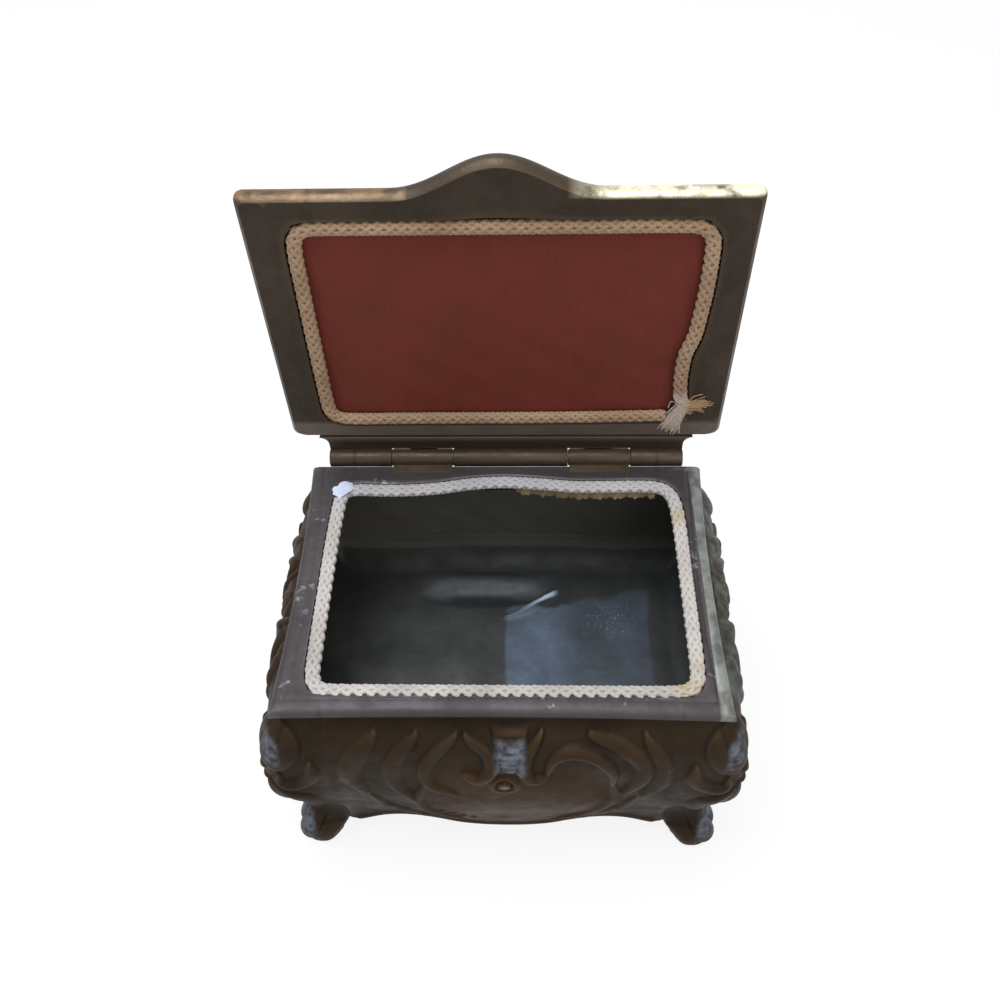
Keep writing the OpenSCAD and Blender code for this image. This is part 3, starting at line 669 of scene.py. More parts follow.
def corner(name, flip_x, flip_y):
    """One corner casting, drawn as the front right one and then mirrored."""
    obj, u, v, outside = plate(name, 90, 190)
    s, t = (u + 1) / 2, (1 - v) / 2 * (WALL_TOP / WALL_H)

    def place(s, t):
        return corner_grid(s, t, outside)

    z = np.maximum(WALL_TOP - t * WALL_H, 0)
    lift = corner_relief((s - 0.5) * AROUND, t * WALL_H, s, z)
    lift -= 0.5 * ease(t, 0.25, 0.45) * ease(z, 0.5, 2)
    lift *= ease(0.5 - np.abs(s - 0.5), 0, 0.07)
    middle = corner_grid(np.full(s.shape, 0.5), t, np.full(s.shape, False))
    away = place(s, t) - middle
    away[:, 2] = 0
    outer = lifted(place, s, t, np.where(outside, lift, 0), away)
    outer[:, 2] = np.maximum(outer[:, 2], 0)
    outer[z < 0.05, 2] = 0
    return shape(obj, inside_box(outer) * (flip_x, flip_y, 1), 60)


front_right = corner("front_right_foot", 1, 1)
front_left = corner("front_left_foot", -1, 1)
back_right = corner("back_right_foot", 1, -1)
back_left = corner("back_left_foot", -1, -1)
tell(front_right, front_left, back_right, back_left)

# %% [markdown]
# ## Rim
# The rim is a ring with a rounded outer moulding, a fine groove and a flat top. The groove is deep
# only along the right side. The opening follows the braid that is glued round it, and the back
# edge is straight for the hinge.

# %% Rim
BASE_ROUTE = [
    (-44.7, 25.9), (-45, 22), (-45.2, 14), (-45.2, 2), (-45.1, -10), (-45, -20), (-44.8, -26),
    (-43.9, -29), (-41.8, -30.5), (-37, -30.8), (-24, -30.8), (-10, -30.8), (4, -30.8),
    (18, -30.8), (32, -30.8), (40, -30.7), (43.6, -30.1), (45.6, -28.3), (46.3, -25),
    (46.4, -14), (46.4, -2), (46.4, 10), (46.2, 20), (45.6, 25.4), (44, 28.6), (41, 30.1),
    (36, 30.4), (28, 30.3), (19, 30.3), (10, 31.2), (0, 31.9), (-9, 31.3), (-18, 29.8),
    (-26, 29.1), (-34, 29), (-40, 29.2), (-43.6, 28.4)]
RIM_EDGE = [(1.8, 0), (1.2, .14), (.7, .5), (.32, .92), (.1, 1.4), (0, 2), (.05, 2.5), (.22, 2.92),
            (.52, 3.28), (.95, 3.56), (1.5, 3.74), (2.1, 3.84), (2.7, 3.87), (3.1, 3.83),
            (3.4, 3.66), (3.7, 3.64), (3.95, 3.82), (4.3, 3.94), (4.9, 3.97)]
RIM_INNER = [(.45, 3.97), (.8, 3.97), (.93, 3.95), (1, 3.8), (1, 2.4), (1, .8), (1, 0), (.6, 0),
             (.3, 0)]
STATIONS = [(q, u) for q, n in enumerate((76, 52, 76, 52)) for u in np.linspace(-1, 1, n + 1)[:-1]]


def rim_outline(q, u, inset):
    """Point on the rim's outline, drawn in by an inset: side q, and u from -1 to 1 along it."""
    long_side = q % 2 == 0
    pinch = (PINCH_LONG, PINCH_SHORT, 0, PINCH_SHORT)[q]
    a = u * ((HALF_W if long_side else HALF_D) - inset)
    w = (HALF_D if long_side else HALF_W) - inset - pinch * (1 - u * u)
    x, y = ((a, -w), (w, a), (-a, w), (-w, -a))[q]
    if y > 0:
        y *= (HALF_D - 0.03 * min(inset, 5)) / (HALF_D - inset)
    return np.array([x, y])


def offset(line, distance):
    """Closed line moved sideways to its right by a distance."""
    d = np.roll(line, -1, 0) - np.roll(line, 1, 0)
    d /= np.linalg.norm(d, axis=1)[:, None]
    return line + distance * np.stack([d[:, 1], -d[:, 0]], 1)


base_line = along(BASE_ROUTE, 8, closed=True)
opening = polar(offset(base_line, 1.9))
profile_count = len(RIM_EDGE) + len(RIM_INNER)
bpy.ops.mesh.primitive_torus_add(major_segments=len(STATIONS), minor_segments=profile_count)
rim = bpy.context.object
rim.name = "rim"
places = []
for q, u in STATIONS:
    fill = 0 if q == 1 else 0.8
    for inset, h in RIM_EDGE:
        if 3 < inset < 4:
            h += fill * (3.9 - h)
        places.append((*rim_outline(q, u, inset), WALL_TOP + h))
    edge = rim_outline(q, u, RIM_EDGE[-1][0])
    angle = math.atan2(edge[1], edge[0])
    inner = float(opening(angle)) * np.array([math.cos(angle), math.sin(angle)])
    places += [(*(edge + (inner - edge) * k), WALL_TOP + h) for k, h in RIM_INNER]
tell(shape(rim, places, 40))

# %% [markdown]
# ## Floor pan
# A dished pan closes the box from inside. Its grid is laid in rings, so that its edge follows
# the walls and turns up into them in one smooth fold.

# %% Floor pan
def plan(t, inset):
    """The walls' inside outline at a share t of the height, drawn in by an inset."""
    r = max(CORNER_R - inset, 1)
    out = float(corner_out(np.array(t)))
    cx, cy = HALF_W + out - inset - r, HALF_D + out - inset - r
    x = np.linspace(0, cx, 26)
    y = np.linspace(cy, 0, 16)
    turn = np.radians(np.linspace(-90, 0, 12))
    long_face = inset - wall_face(x, t, HALF_W, HALF_D, PINCH_LONG, 0) - 0.6 * cartouche(x, t)
    short_face = wall_face(y, t, HALF_D, HALF_W, PINCH_SHORT, SIDE_SWELL) - inset
    bend = np.stack([cx + r * np.cos(turn), -cy + r * np.sin(turn)], 1)
    q = np.vstack([np.stack([x, long_face], 1), bend, np.stack([short_face, -y], 1)])
    return np.vstack([q, q[::-1] * (1, -1), q * (-1, -1), q[::-1] * (-1, 1)])


def rings(u, v, half_x, half_y):
    """Which ring a corner of a grid lies on, from 0 to 1, and its angle on the real outline."""
    return np.round(np.maximum(np.abs(u), np.abs(v)), 6), np.arctan2(v * half_y, u * half_x)


pan, u, v, above = plate("floor_dish", 150, 110)
level, angle = rings(u, v, HALF_W, HALF_D)
FOLD, FOLD_R, FLOOR_EDGE, SET_IN, FLOOR_T = 0.66, 9.0, 37.0, 11.55, 1.5
places = np.zeros((len(u), 3))
for r in np.unique(level):
    for top in (True, False):
        here = (level == r) & (above == top)
        bend = FOLD_R - FLOOR_T * top
        turn = math.pi / 2 * (1 - max(r - FOLD, 0) / (1 - FOLD))
        depth = FLOOR_EDGE + bend * math.sin(turn)
        radius = polar(plan((depth - RIM_T) / WALL_H, SET_IN - bend * math.cos(turn)))(angle[here])
        radius = radius * min(r / FOLD, 1)
        places[here] = np.stack([radius * np.cos(angle[here]), radius * np.sin(angle[here]),
                                 np.full(radius.shape, RIM_TOP - depth)], 1)
x, y = places[:, 0], places[:, 1]
crease = ridge(x, y, along([(-1, 15), (6, 18), (11, 21.5), (15, 24.5)]), 2.4, 1.1)
crease += 0.7 * dome(x, y, -7, 27.5, 17, 3.2, 1) - 0.8 * dome(x, y, -8, 23, 19, 4, 1)
soft = 0.25 * np.sin(x / 9 + 1) * np.sin(y / 7) + 0.1 * np.sin(x / 3.1 + y / 4.3)
places[:, 2] += np.where(above, crease + soft * ease(level, 1, 0.6), 0)
tell(shape(pan, places, 60))

# %% [markdown]
# ## Lid
# The lid is modelled closed, in millimetres from the hinge's axis, and turned open about it. Its
# underside has a recess for the lining, its front a scalloped lip, and its top a low dome with
# scrolls that the photograph doesn't show.

# %% Lid casting
LID_OPEN = math.radians(92)
UNDER_Z, LEAF_LEN, LID_W, LID_D, LID_EDGE, LID_CROWN = 0.9, 7.0, 117.0, 76.1, 4.0, 10.4
LIP_HALF, LIP_OUT, BORDER_SIDE, BORDER_FRONT, BORDER_BACK = 25.0, 8.2, 7.7, 5.8, 4.2
LINING_HALF, LINING_RUN = LID_W / 2 - BORDER_SIDE, LID_D - BORDER_FRONT - BORDER_BACK
LID_MID_Y = -LEAF_LEN - LID_D / 2
CREST_RUN = 38.0
LID_CREST = [(0, .1), (1.6, .2), (3.5, .36), (6, .53), (9, .69), (13, .84), (20, .95), (28, .99),
             (CREST_RUN, 1)]
LID_ROUTE = [
    (43, 7), (30, 6.6), (12, 6.3), (-8, 6.2), (-28, 6.1), (-40, 6), (-44.4, 6.5), (-46.6, 8.4),
    (-47.2, 12), (-47.3, 24), (-47.3, 38), (-47.2, 52), (-47.1, 60), (-46.4, 64.4), (-44, 66.5),
    (-39, 66.9), (-20, 66.9), (0, 66.9), (20, 66.9), (40, 66.9), (45, 66.5), (47.6, 64.6),
    (48.5, 61), (48.6, 50), (48.2, 42), (47.6, 35), (46.1, 29), (45.8, 24), (45.9, 19),
    (46.3, 15.5)]


def on_lining(points):
    """From the drawn route, in X and distance from the lid's back, to the closed lid."""
    p = np.asarray(points, float)
    across = (LINING_HALF - 2.2) / 48.6
    run = (LINING_RUN - 2.4 - 2.8) / (66.9 - 6)
    return np.stack([p[:, 0] * across, -LEAF_LEN - BORDER_BACK - 2.4 - (p[:, 1] - 6) * run], 1)


def at_lid(places):
    """From the closed lid's own place to the open lid, from the middle of the base."""
    x, y, z = np.asarray(places, float).T
    c, s = math.cos(LID_OPEN), math.sin(LID_OPEN)
    return np.stack([x, hinge[1] - BASE_Y + y * c + z * s, hinge[2] - y * s + z * c], 1)


def round_corner(x, y, r, start):
    """Quarter turn of radius r round a centre, from an angle in degrees."""
    a = np.radians(np.linspace(start, start + 90, 9))
    return np.stack([x + r * np.cos(a), y + r * np.sin(a)], 1)


half, front_y = LID_W / 2, -LID_D / 2
lip_x = np.linspace(-LIP_HALF, LIP_HALF, 61)
lip_y = front_y - LIP_OUT * np.cos(math.pi / 2 * lip_x / LIP_HALF).clip(0) ** 2.3
lid_outline = polar(np.vstack([
    round_corner(-half + 3, -front_y - 3, 3, 90),
    round_corner(-half + 1.5, front_y + 1.5, 1.5, 180),
    np.stack([lip_x, lip_y], 1),
    round_corner(half - 1.5, front_y + 1.5, 1.5, 270),
    round_corner(half - 3, -front_y - 3, 3, 0)]))
recess = polar(offset(along(on_lining(LID_ROUTE + [(46.6, 11), (45.6, 8)]), 8, closed=True), 1.9)
               - (0, LID_MID_Y))
LID_DRAWN = [
    ([(-50, -29), (-40, -33), (-28, -31), (-16, -33), (-6, -38)], 3.9, .9, 9),
    ([(-51, 26), (-53, 10), (-49, 0), (-53, -10), (-51, -24)], 3.9, .9, 9),
    ([(-46, 31), (-30, 33), (-16, 30), (0, 32.4)], 3.9, .9, 11),
    ([(-34, -20), (-42, -8), (-40, 10), (-28, 19), (-10, 20), (0, 17)], 3.3, .8),
    ([(-34, -20), (-22, -25), (-10, -21), (0, -25)], 3.3, .8),
    (curl(-43, 20, 5.5, 200, 1.3), 3, .9), (curl(-44, -19, 5, 120, -1.3), 3, .9),
    (curl(-16, 9, 6, 30, 1.2), 3, .7), (curl(-13, -9, 5.5, 300, -1.2), 3, .7),
    (curl(-8, -33, 3.6, 180, -1.2), 2.55, .8),
]
LID_DRAWN += [(np.asarray(e[0]) * (-1, 1), *e[1:]) for e in LID_DRAWN]

lid, u, v, top = plate("lid_shell", 190, 140)
level, angle = rings(u, v, half, LID_D / 2)
EDGE_RING, LIP_RING = 0.945, 0.86
inset = CREST_RUN * (1 - level / EDGE_RING).clip(0)
edge_at = ((level - EDGE_RING) / (1 - EDGE_RING)).clip(0, 1)
out = lid_outline(angle)
x, y = out * np.cos(angle), out * np.sin(angle)
EDGE_AT = [0, .2, .45, .7, .88, 1]
roll = np.interp(edge_at, EDGE_AT, [.25, .05, 0, .12, .5, 1.2])
height = np.interp(edge_at, EDGE_AT, [4.1, 3.4, 2.4, 1.3, .45, 0])
xs = 1 - roll / half - inset / half * (1 + 0.54 * (inset / CREST_RUN) ** 2)
ys = 1 - (roll + inset) / CREST_RUN
crown = LID_EDGE + 0.1 + (LID_CROWN - 0.95 - LID_EDGE) * (smooth(inset, LID_CREST) - .1) / .9
crown = np.where(level > EDGE_RING, height, crown)
upper = np.stack([x * xs, y * ys + LID_MID_Y, UNDER_Z + crown], 1)
drawn = scrolls(upper[:, 0], upper[:, 1] - LID_MID_Y, LID_DRAWN)
drawn = np.maximum(drawn, 0.8 * ring(upper[:, 0] / 2.1, upper[:, 1] - LID_MID_Y, 0, -2, 5, 0.8, 1))
upper[:, 2] += 0.85 * drawn * ease(level, EDGE_RING, EDGE_RING - 0.05)
cut = recess(angle)
share = ((level - LIP_RING) / (1 - LIP_RING)).clip(0, 1)
rx, ry = cut * np.cos(angle), cut * np.sin(angle)
bx = rx + (x * (1 - 1.35 / half) - rx) * share
by = ry + (y * (1 - 1.35 / CREST_RUN) - ry) * share
inside = (level / (LIP_RING - 0.012)).clip(0, 1)
deep = level < LIP_RING - 1e-4
worn = 0.18 * np.exp(-(share * 30) ** 2) + 0.05 * np.sin(bx / 2.7) * np.sin(by / 3.9 + 1)
lower = np.stack([np.where(deep, rx * inside, bx), np.where(deep, ry * inside, by) + LID_MID_Y,
                  UNDER_Z + np.where(deep, 4.05, worn * ease(1 - share, 0, .2) + 0.02)], 1)
tell(shape(lid, at_lid(np.where(top[:, None], upper, lower)), 45))

# %% [markdown]
# ## Hinge
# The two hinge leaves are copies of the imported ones, with their edges rounded over. Thin washers
# close the gaps between the knuckles, and two strips fill the lid's side of the hinge over the
# rim's knuckles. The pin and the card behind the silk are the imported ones.

# %% Hinge
def rounded_copy(node, name, radius):
    """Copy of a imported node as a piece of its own, with its edges rounded over."""
    source = bpy.data.objects[node]
    bpy.ops.object.select_all(action="DESELECT")
    source.select_set(True)
    bpy.context.view_layer.objects.active = source
    bpy.ops.object.duplicate()
    obj = bpy.context.object
    obj.name = name
    for key in list(obj.keys()):
        del obj[key]
    bpy.ops.object.parent_clear(type="CLEAR_KEEP_TRANSFORM")
    bpy.ops.object.transform_apply(location=True, rotation=True, scale=True)
    edit(obj, lambda: bpy.ops.mesh.remove_doubles(threshold=1e-6),
         lambda: bpy.ops.mesh.dissolve_limited(angle_limit=math.radians(1)))
    bpy.ops.object.modifier_add(type="BEVEL")
    bevel = obj.modifiers[-1]
    bevel.width, bevel.segments = radius * MM, 3
    bevel.limit_method, bevel.angle_limit = "ANGLE", math.radians(40)
    bpy.ops.object.modifier_apply(modifier=bevel.name)
    bpy.ops.object.shade_smooth_by_angle(angle=math.radians(35))
    return obj


def join_to(obj, parts):
    """Join parts to an object, with their shapes kept as they are."""
    bpy.ops.object.select_all(action="DESELECT")
    for part in parts:
        part.select_set(True)
    obj.select_set(True)
    bpy.context.view_layer.objects.active = obj
    bpy.ops.object.join()


rim_leaf = rounded_copy("rim_hinge_leaf", "rim_hinge", 0.3)
lid_leaf = rounded_copy("lid_hinge_leaf", "lid_hinge_part", 0.3)
MID_START, MID_END, RIM_KNUCKLE = 1.5 - 16.35, 1.5 + 16.35, 16.4
WASHER_R, WASHER_T = 2.3, 0.36
washers = []
for x in (MID_START - RIM_KNUCKLE, MID_START, MID_END, MID_END + RIM_KNUCKLE):
    outward = 1 if x in (MID_START, MID_END + RIM_KNUCKLE) else -1
    place = Vector((x + outward * 0.17, hinge[1], hinge[2])) * MM
    bpy.ops.mesh.primitive_cylinder_add(vertices=48, radius=WASHER_R * MM, depth=WASHER_T * MM,
                                        rotation=(0, math.pi / 2, 0), location=place)
    bpy.ops.object.transform_apply(location=True, rotation=True, scale=True)
    washers.append(bpy.context.object)
join_to(rim_leaf, washers)
strips = []
for x in (MID_START - RIM_KNUCKLE, MID_END):
    bpy.ops.mesh.primitive_cube_add(size=1)
    strip = bpy.context.object
    middle = (x + RIM_KNUCKLE / 2, -3.5, UNDER_Z + 0.8)
    places = corners_of(strip) * (RIM_KNUCKLE + 1.4, 1.6, 1.5) + middle
    strips.append(shape(strip, at_lid(places), 30))
join_to(lid_leaf, strips)
tell(rim_leaf, lid_leaf)

# %% [markdown]
# ## Silk lining
# Thin red silk is stretched over a card in the lid. It dips a little between the places where it
# is glued.

# %% Silk
silk, u, v, front_side = plate("silk", 120, 80)
level, angle = rings(u, v, LINING_HALF, LINING_RUN / 2)
reach = recess(angle) - 0.3
x, y = reach * np.cos(angle) * level, reach * np.sin(angle) * level
puckers = 0.10 * np.sin(x * 0.9 + 1.2 * np.sin(y * 0.21)) * ease(level, 0.45, 0.95)
puckers += 0.12 * np.sin(x * 0.16 + y * 0.11) + 0.06 * np.sin(y * 0.5 - x * 0.3)
z = np.where(front_side, 0.28, 0.0) + puckers * ease(level, 1, 0.9)
tell(shape(silk, at_lid(np.stack([x, y + LID_MID_Y, UNDER_Z + 2.25 + z], 1)), 60))

# %% [markdown]
# ## Braided cords
# Each cord is a flat braid of eight yarns: four wind one way and four the other, and they pass
# over and under each other. The lid's cord comes loose at one end and frays.

# %% Braids
def yarns(name, lines, radii, sides=1):
    """Tubes along lines given in millimetres from the middle of the base, as one mesh."""
    bpy.ops.curve.primitive_nurbs_path_add()
    obj = bpy.context.object
    obj.name = name
    curve = obj.data
    curve.splines.clear()
    for line, radius in zip(lines, radii):
        spline = curve.splines.new("POLY")
        spline.points.add(len(line) - 1)
        flat = np.c_[(line + (0, BASE_Y, 0)) * MM, np.ones(len(line))]
        spline.points.foreach_set("co", flat.ravel())
        spline.points.foreach_set("radius", np.broadcast_to(radius, len(line)).astype(float))
    curve.bevel_depth, curve.bevel_resolution = MM, sides
    curve.use_fill_caps = True
    bpy.ops.object.convert(target="MESH")
    edit(obj, lambda: bpy.ops.mesh.normals_make_consistent(inside=False))
    bpy.ops.object.shade_smooth()
    return obj


def braid(line, z, pitch, half_w, half_h, to_box, swing=0.15, phase=0.0):
    """The eight yarns' lines of a braid that follows a line at a height."""
    count = int(np.linalg.norm(np.diff(line, axis=0), axis=1).sum() / 0.3)
    mid, length = evenly(line, count)
    d = np.gradient(mid, axis=0)
    d /= np.linalg.norm(d, axis=1)[:, None]
    side = np.stack([d[:, 1], -d[:, 0]], 1)
    turn = 2 * math.pi * np.linspace(0, length, count) / pitch
    made = []
    for way in (1, -1):
        for k in range(4):
            a = way * turn + k * math.pi / 2 + phase * way
            r = 1 + way * swing * np.cos(4 * (turn + phase))
            flat = mid + side * (half_w * r * np.cos(a))[:, None]
            made.append(to_box(np.c_[flat, z + half_h * r * np.sin(a)]))
    made += [to_box(np.c_[mid + side * x, np.full(count, z)]) for x in (-0.5, 0.5)]
    return made


base_closed = np.vstack([base_line, base_line[:1]])
base_run = np.linalg.norm(np.diff(base_closed, axis=0), axis=1).sum()
base_braid = yarns("base_braid", braid(base_closed, RIM_TOP - 0.85, base_run / 26, 1.2, 0.7,
                                       lambda p: p), [0.6] * 8 + [0.8] * 2, 2)
lid_line = along(on_lining(LID_ROUTE), 8)
lid_braid = yarns("lid_braid", braid(lid_line, UNDER_Z + 1.0, 10.6, 1.2, 0.6, at_lid),
                  [0.6] * 8 + [0.7] * 2, 2)
tell(base_braid, lid_braid)
print("cords", round(base_run), "and", round(evenly(lid_line, 2)[1]), "mm long")

# %% Frayed end of the lid's cord
rng = np.random.default_rng(7)
start = on_lining([(46.25, 16.2), (46.6, 13.4), (47.4, 11.8)])
tufts = (((44.4, 4.0), 190, 2.6), ((52.4, 12.4), 130, 2.0), ((47.6, 9.4), 60, 2.6))
lines, radii = [], []
for (tx, ty), count, spread in tufts:
    target = on_lining([(tx, ty)])[0]
    for _ in range(count):
        tip = target + rng.normal(0, spread * 0.5, 2)
        bow = (start[-1] + tip) / 2 + rng.normal(0, 0.6, 2)
        flat = along([start[0] + rng.uniform(-1.7, 1.7) * np.array([1, 0]),
                      start[1] + rng.uniform(-1.7, 1.7) * np.array([1, 0]),
                      start[2] + rng.uniform(-1, 1, 2) * 1.5, bow, tip], 7)
        climb = np.linspace(0, 1, len(flat))
        z = UNDER_Z + 1.2 + rng.uniform(-0.7, 0.5) - climb ** 1.5 * rng.uniform(0.9, 2.2)
        z = np.maximum(z, UNDER_Z - rng.uniform(0.1, 0.32))
        lines.append(at_lid(np.c_[flat, z]))
        radii.append(rng.uniform(0.14, 0.26) * (1 - 0.5 * climb))
frayed = yarns("frayed_end", lines, radii, 0)
tell(frayed)

# %% [markdown]
# ## Tape and the torn old lining
# A crumpled scrap of tape hides the joint of the braid at the back left. On the right, behind
# the braid, hangs the torn edge of an older lining.

# %% Tape and old lining
tape, u, v, up = plate("tape_scrap", 34, 26)
tx = 2.9 * u * (1 - 0.12 * v * v + 0.08 * np.sin(5 * v + 1))
ty = 2.1 * v * (1 - 0.15 * u * u + 0.1 * np.sin(6 * u) * (v > 0))
crumple = 0.09 * np.sin(u * 4.1 + v * 2) * np.cos(v * 3.3 - u) + 0.05 * np.sin(u * 11 + v * 7)
edge_lift = -0.3 * ease(np.abs(u), 0.6, 1.0)
turn = math.radians(40)
joint = (np.array(BASE_ROUTE[0]) + BASE_ROUTE[-1]) / 2
shape(tape, np.stack([joint[0] + tx * math.cos(turn) - ty * math.sin(turn),
                      joint[1] + tx * math.sin(turn) + ty * math.cos(turn) + 1.3,
                      RIM_TOP + 0.62 + crumple + edge_lift + np.where(up, 0.14, 0)], 1), 60)

remnant, u, v, near = plate("old_lining_edge", 150, 22)
x = 22 + 19 * u
back_y = np.interp(x, *np.array(sorted((q[0], q[1]) for q in BASE_ROUTE if q[1] > 27)).T)
tear = 0.62 + 0.38 * np.cos(u * math.pi / 2)
tear += 0.16 * np.sin(u * 37) * np.cos(u * 11) + 0.1 * np.sin(u * 90)
drop = (1 - v) / 2
z = RIM_TOP - 1.0 - drop * (1.6 + 1.7 * tear)
y = back_y - 1.25 + 0.35 * np.sin(u * 24) * drop + 0.2 * np.sin(u * 61 + 4 * drop) * drop
shape(remnant, np.stack([x, y - np.where(near, 0.0, 0.14), z], 1), 60)
tell(tape, remnant)

# %% [markdown]
# ## Metals
# All metal is one cast alloy. The dark bronze patina is rubbed through on high spots and edges,
# and thickens in the hollows; its cold grey on the most raised ornaments is a painted highlight.
# What happens only in one place is mixed in there, over a soft-edged region of the object's own
# coordinates.

# %% Regions
def place_of(tree):
    """Object coordinates as three separate values, in metres."""
    parts = add(tree, "SeparateXYZ")
    join(add(tree, "TexCoord").outputs["Object"], parts.inputs[0])
    return parts.outputs


def window(value, low, high, soft):
    """1 where a value is between low and high, with soft ends."""
    passed = []
    for end in (low, high):
        step = add(tree_of(value), "MapRange", interpolation_type="SMOOTHSTEP",
                   From_Min=end - soft, From_Max=end + soft)
        join(value, step.inputs["Value"])
        passed.append(step.outputs[0])
    return product(passed[0], maths("SUBTRACT", 1.0, passed[1]))


def region(*sides):
    """Soft-edged region; each side is a value with its low and high end and their softness."""
    return product(*(window(*side) for side in sides))


def blotches(tree, scale, low, high, detail=4, roughness=0.65):
    """Uneven cover from noise; low and high are each a place on the noise and a cover."""
    return ramp(noise(tree, scale, detail, roughness), low, high)


def layers(shader, colour, *over):
    """Colour the shader: each further screen colour lies over the last one, by its own share."""
    for share, tint in over:
        colour = mix(share, colour, srgb(*tint))
    join(colour, shader.inputs["Base Color"])


# %% Patina
def patina(name, dark, body, high, rough=(0.34, 0.6), worn=0.5, metallic=0.55, grain=1.0):
    """Cast metal with a patina: dark hollows, a blotchy body colour, and rubbed high spots.

    Nothing is rubbed at the joints of the castings.
    """
    material, tree, shader = finish_material(name)
    dark, body, high = srgb(*dark), srgb(*body), srgb(*high)
    point = add(tree, "NewGeometry").outputs["Pointiness"]
    high_spot = ramp(point, (0.50, 0.0), (0.56, 1.0))
    hollow = ramp(point, (0.42, 1.0), (0.495, 0.0))
    blotch = ramp(noise(tree, 90, 5, 0.6, 0.4), (0.35, 0.0), (0.68, 1.0))
    cloud = blotches(tree, 28, (0.36, 0.0), (0.66, 1.0), 3, 0.5)
    speck = blotches(tree, 900, (0.45, 0.0), (0.75, 1.0), 3, 0.6)
    dull = tuple(0.55 * b + 0.45 * d for b, d in zip(body, dark))
    colour = mix(blotch, body, tuple(0.72 * c for c in body))
    colour = mix(product(cloud, 0.5), colour, dull)
    colour = mix(hollow, colour, dark)
    across, backward, _ = place_of(tree)
    from_middle = maths("SUBTRACT", backward, BASE_Y * MM)
    joints = [window(maths("ABSOLUTE", place), (half - CORNER_LEN - 0.5) * MM,
                     (half - CORNER_LEN + 0.5) * MM, 0.0004)
              for place, half in ((across, HALF_W), (from_middle, HALF_D))]
    free = maths("SUBTRACT", 1.0, maths("MAXIMUM", *joints))
    rub = product(high_spot, free, maths("ADD", product(cloud, -0.5), 0.9))
    colour = mix(product(rub, worn), colour, high)
    colour = mix(product(speck, 0.25), colour, tuple(1.35 * c for c in body))
    join(colour, shader.inputs["Base Color"])
    shader.inputs["Metallic"].default_value = metallic
    shader.inputs["Specular IOR Level"].default_value = 0.25
    level = maths("ADD", product(blotch, rough[1] - rough[0]), rough[0])
    level = maths("SUBTRACT", level, product(rub, 0.1))
    join(level, shader.inputs["Roughness"])
    under = bump(shader, noise(tree, 240, 5, 0.6), 0.0005 * grain, 0.5)
    bump(shader, noise(tree, 1300, 4, 0.7), 0.00012 * grain, 0.6, under)
    return material, tree, shader, colour


# %% [markdown]
# The walls and feet are dark brown. The cartouche is tan, the keystone, bead, shoulders and toes
# carry a painted cold grey highlight, the right side is dull green under the rim, and painted light
# makes the inner sides pale grey where they lie in shade.

# %% Bronze
bronze, tree, shader, colour = patina("patinated_casting", (15, 11, 7), (43, 32, 20),
                                      (110, 82, 54), (0.48, 0.7), 0.4, 0.35)
shader.inputs["Specular IOR Level"].default_value = 0.12
px, py, pz = place_of(tree)
sideways = maths("ABSOLUTE", px)
tan = product(region((px, -0.018, 0.026, 0.006), (pz, 0.021, 0.052, 0.008)),
              maths("LESS_THAN", py, BASE_Y * MM), 0.6)
# Painted highlight: cold grey patches on the keystone, bead, shoulders and toes.
painted_cold_highlight = 0.0
for across, low, high, soft, bottom, top_end, fade in (
        (px, -0.0014, 0.0056, 0.001, 0.0525, 0.0625, 0.001),
        (px, -0.0004, 0.0016, 0.0006, 0.0463, 0.0482, 0.0006),
        (sideways, 0.0535, 0.0575, 0.001, 0.0535, 0.0605, 0.0015),
        (sideways, 0.0525, 0.0575, 0.001, 0.006, 0.014, 0.002)):
    highlight_spot = region((across, low, high, soft), (pz, bottom, top_end, fade))
    painted_cold_highlight = maths("MAXIMUM", painted_cold_highlight, highlight_spot)
painted_cold_highlight = product(painted_cold_highlight, blotches(tree, 420, (0.38, 0.1), (0.62, 0.6), 4, 0.6),
               window(py, -0.09, (BASE_Y - 33) * MM, 0.003))
green = product(region((px, 0.0545, 0.09, 0.0006), (pz, 0.047, 0.09, 0.004),
                       (py, -0.031, 0.09, 0.002)),
                blotches(tree, 300, (0.38, 0.3), (0.62, 0.95)))
# Faces that look to the box's middle: their direction runs against their own place.
coordinates = add(tree, "TexCoord")
outward = add(tree, "VectorMath", operation="MULTIPLY_ADD")
join(coordinates.outputs["Object"], outward.inputs[0])
outward.inputs[1].default_value = (1, 1, 0)
outward.inputs[2].default_value = (0, -BASE_Y * MM, 0)
facing = add(tree, "VectorMath", operation="DOT_PRODUCT")
join(outward.outputs[0], facing.inputs[0])
join(coordinates.outputs["Normal"], facing.inputs[1])
# Painted light: inner faces that lie in shade are lightened to a pale grey.
painted_inner_light = product(maths("LESS_THAN", facing.outputs["Value"], -0.022),
                     window(pz, 0.024, 0.0672, 0.0005), 0.85)
layers(shader, colour, (tan, (62, 42, 22)), (painted_cold_highlight, (118, 128, 142)), (green, (88, 91, 86)),
       (painted_inner_light, (106, 106, 99)))
print(bronze.name, len(tree.nodes), "nodes")

# %% [markdown]
# The lid's top edge has a pale yellow painted highlight at the right and is brown at the left, and
# painted light lightens its strip by the hinge. The rim's top has small nicks, and its right edge
# is green-grey with a painted highlight.

# %% Lid metal
lid_metal, tree, shader, colour = patina("lid_casting_patina", (26, 21, 17), (58, 48, 38),
                                         (112, 92, 68), worn=0.35, metallic=0.4)
px, _, pz = place_of(tree)
BACK_EDGE = (hinge[2] + LEAF_LEN) * MM
EDGE_TOP = BACK_EDGE + (LID_D - 0.9) * MM
# Painted light: the strip by the hinge is lightened where it lies in shade.
painted_light_back_strip = window(pz, BACK_EDGE - MM, BACK_EDGE + 6 * MM, 0.001)
on_edge = window(pz, EDGE_TOP, EDGE_TOP + 0.02, 0.0004)
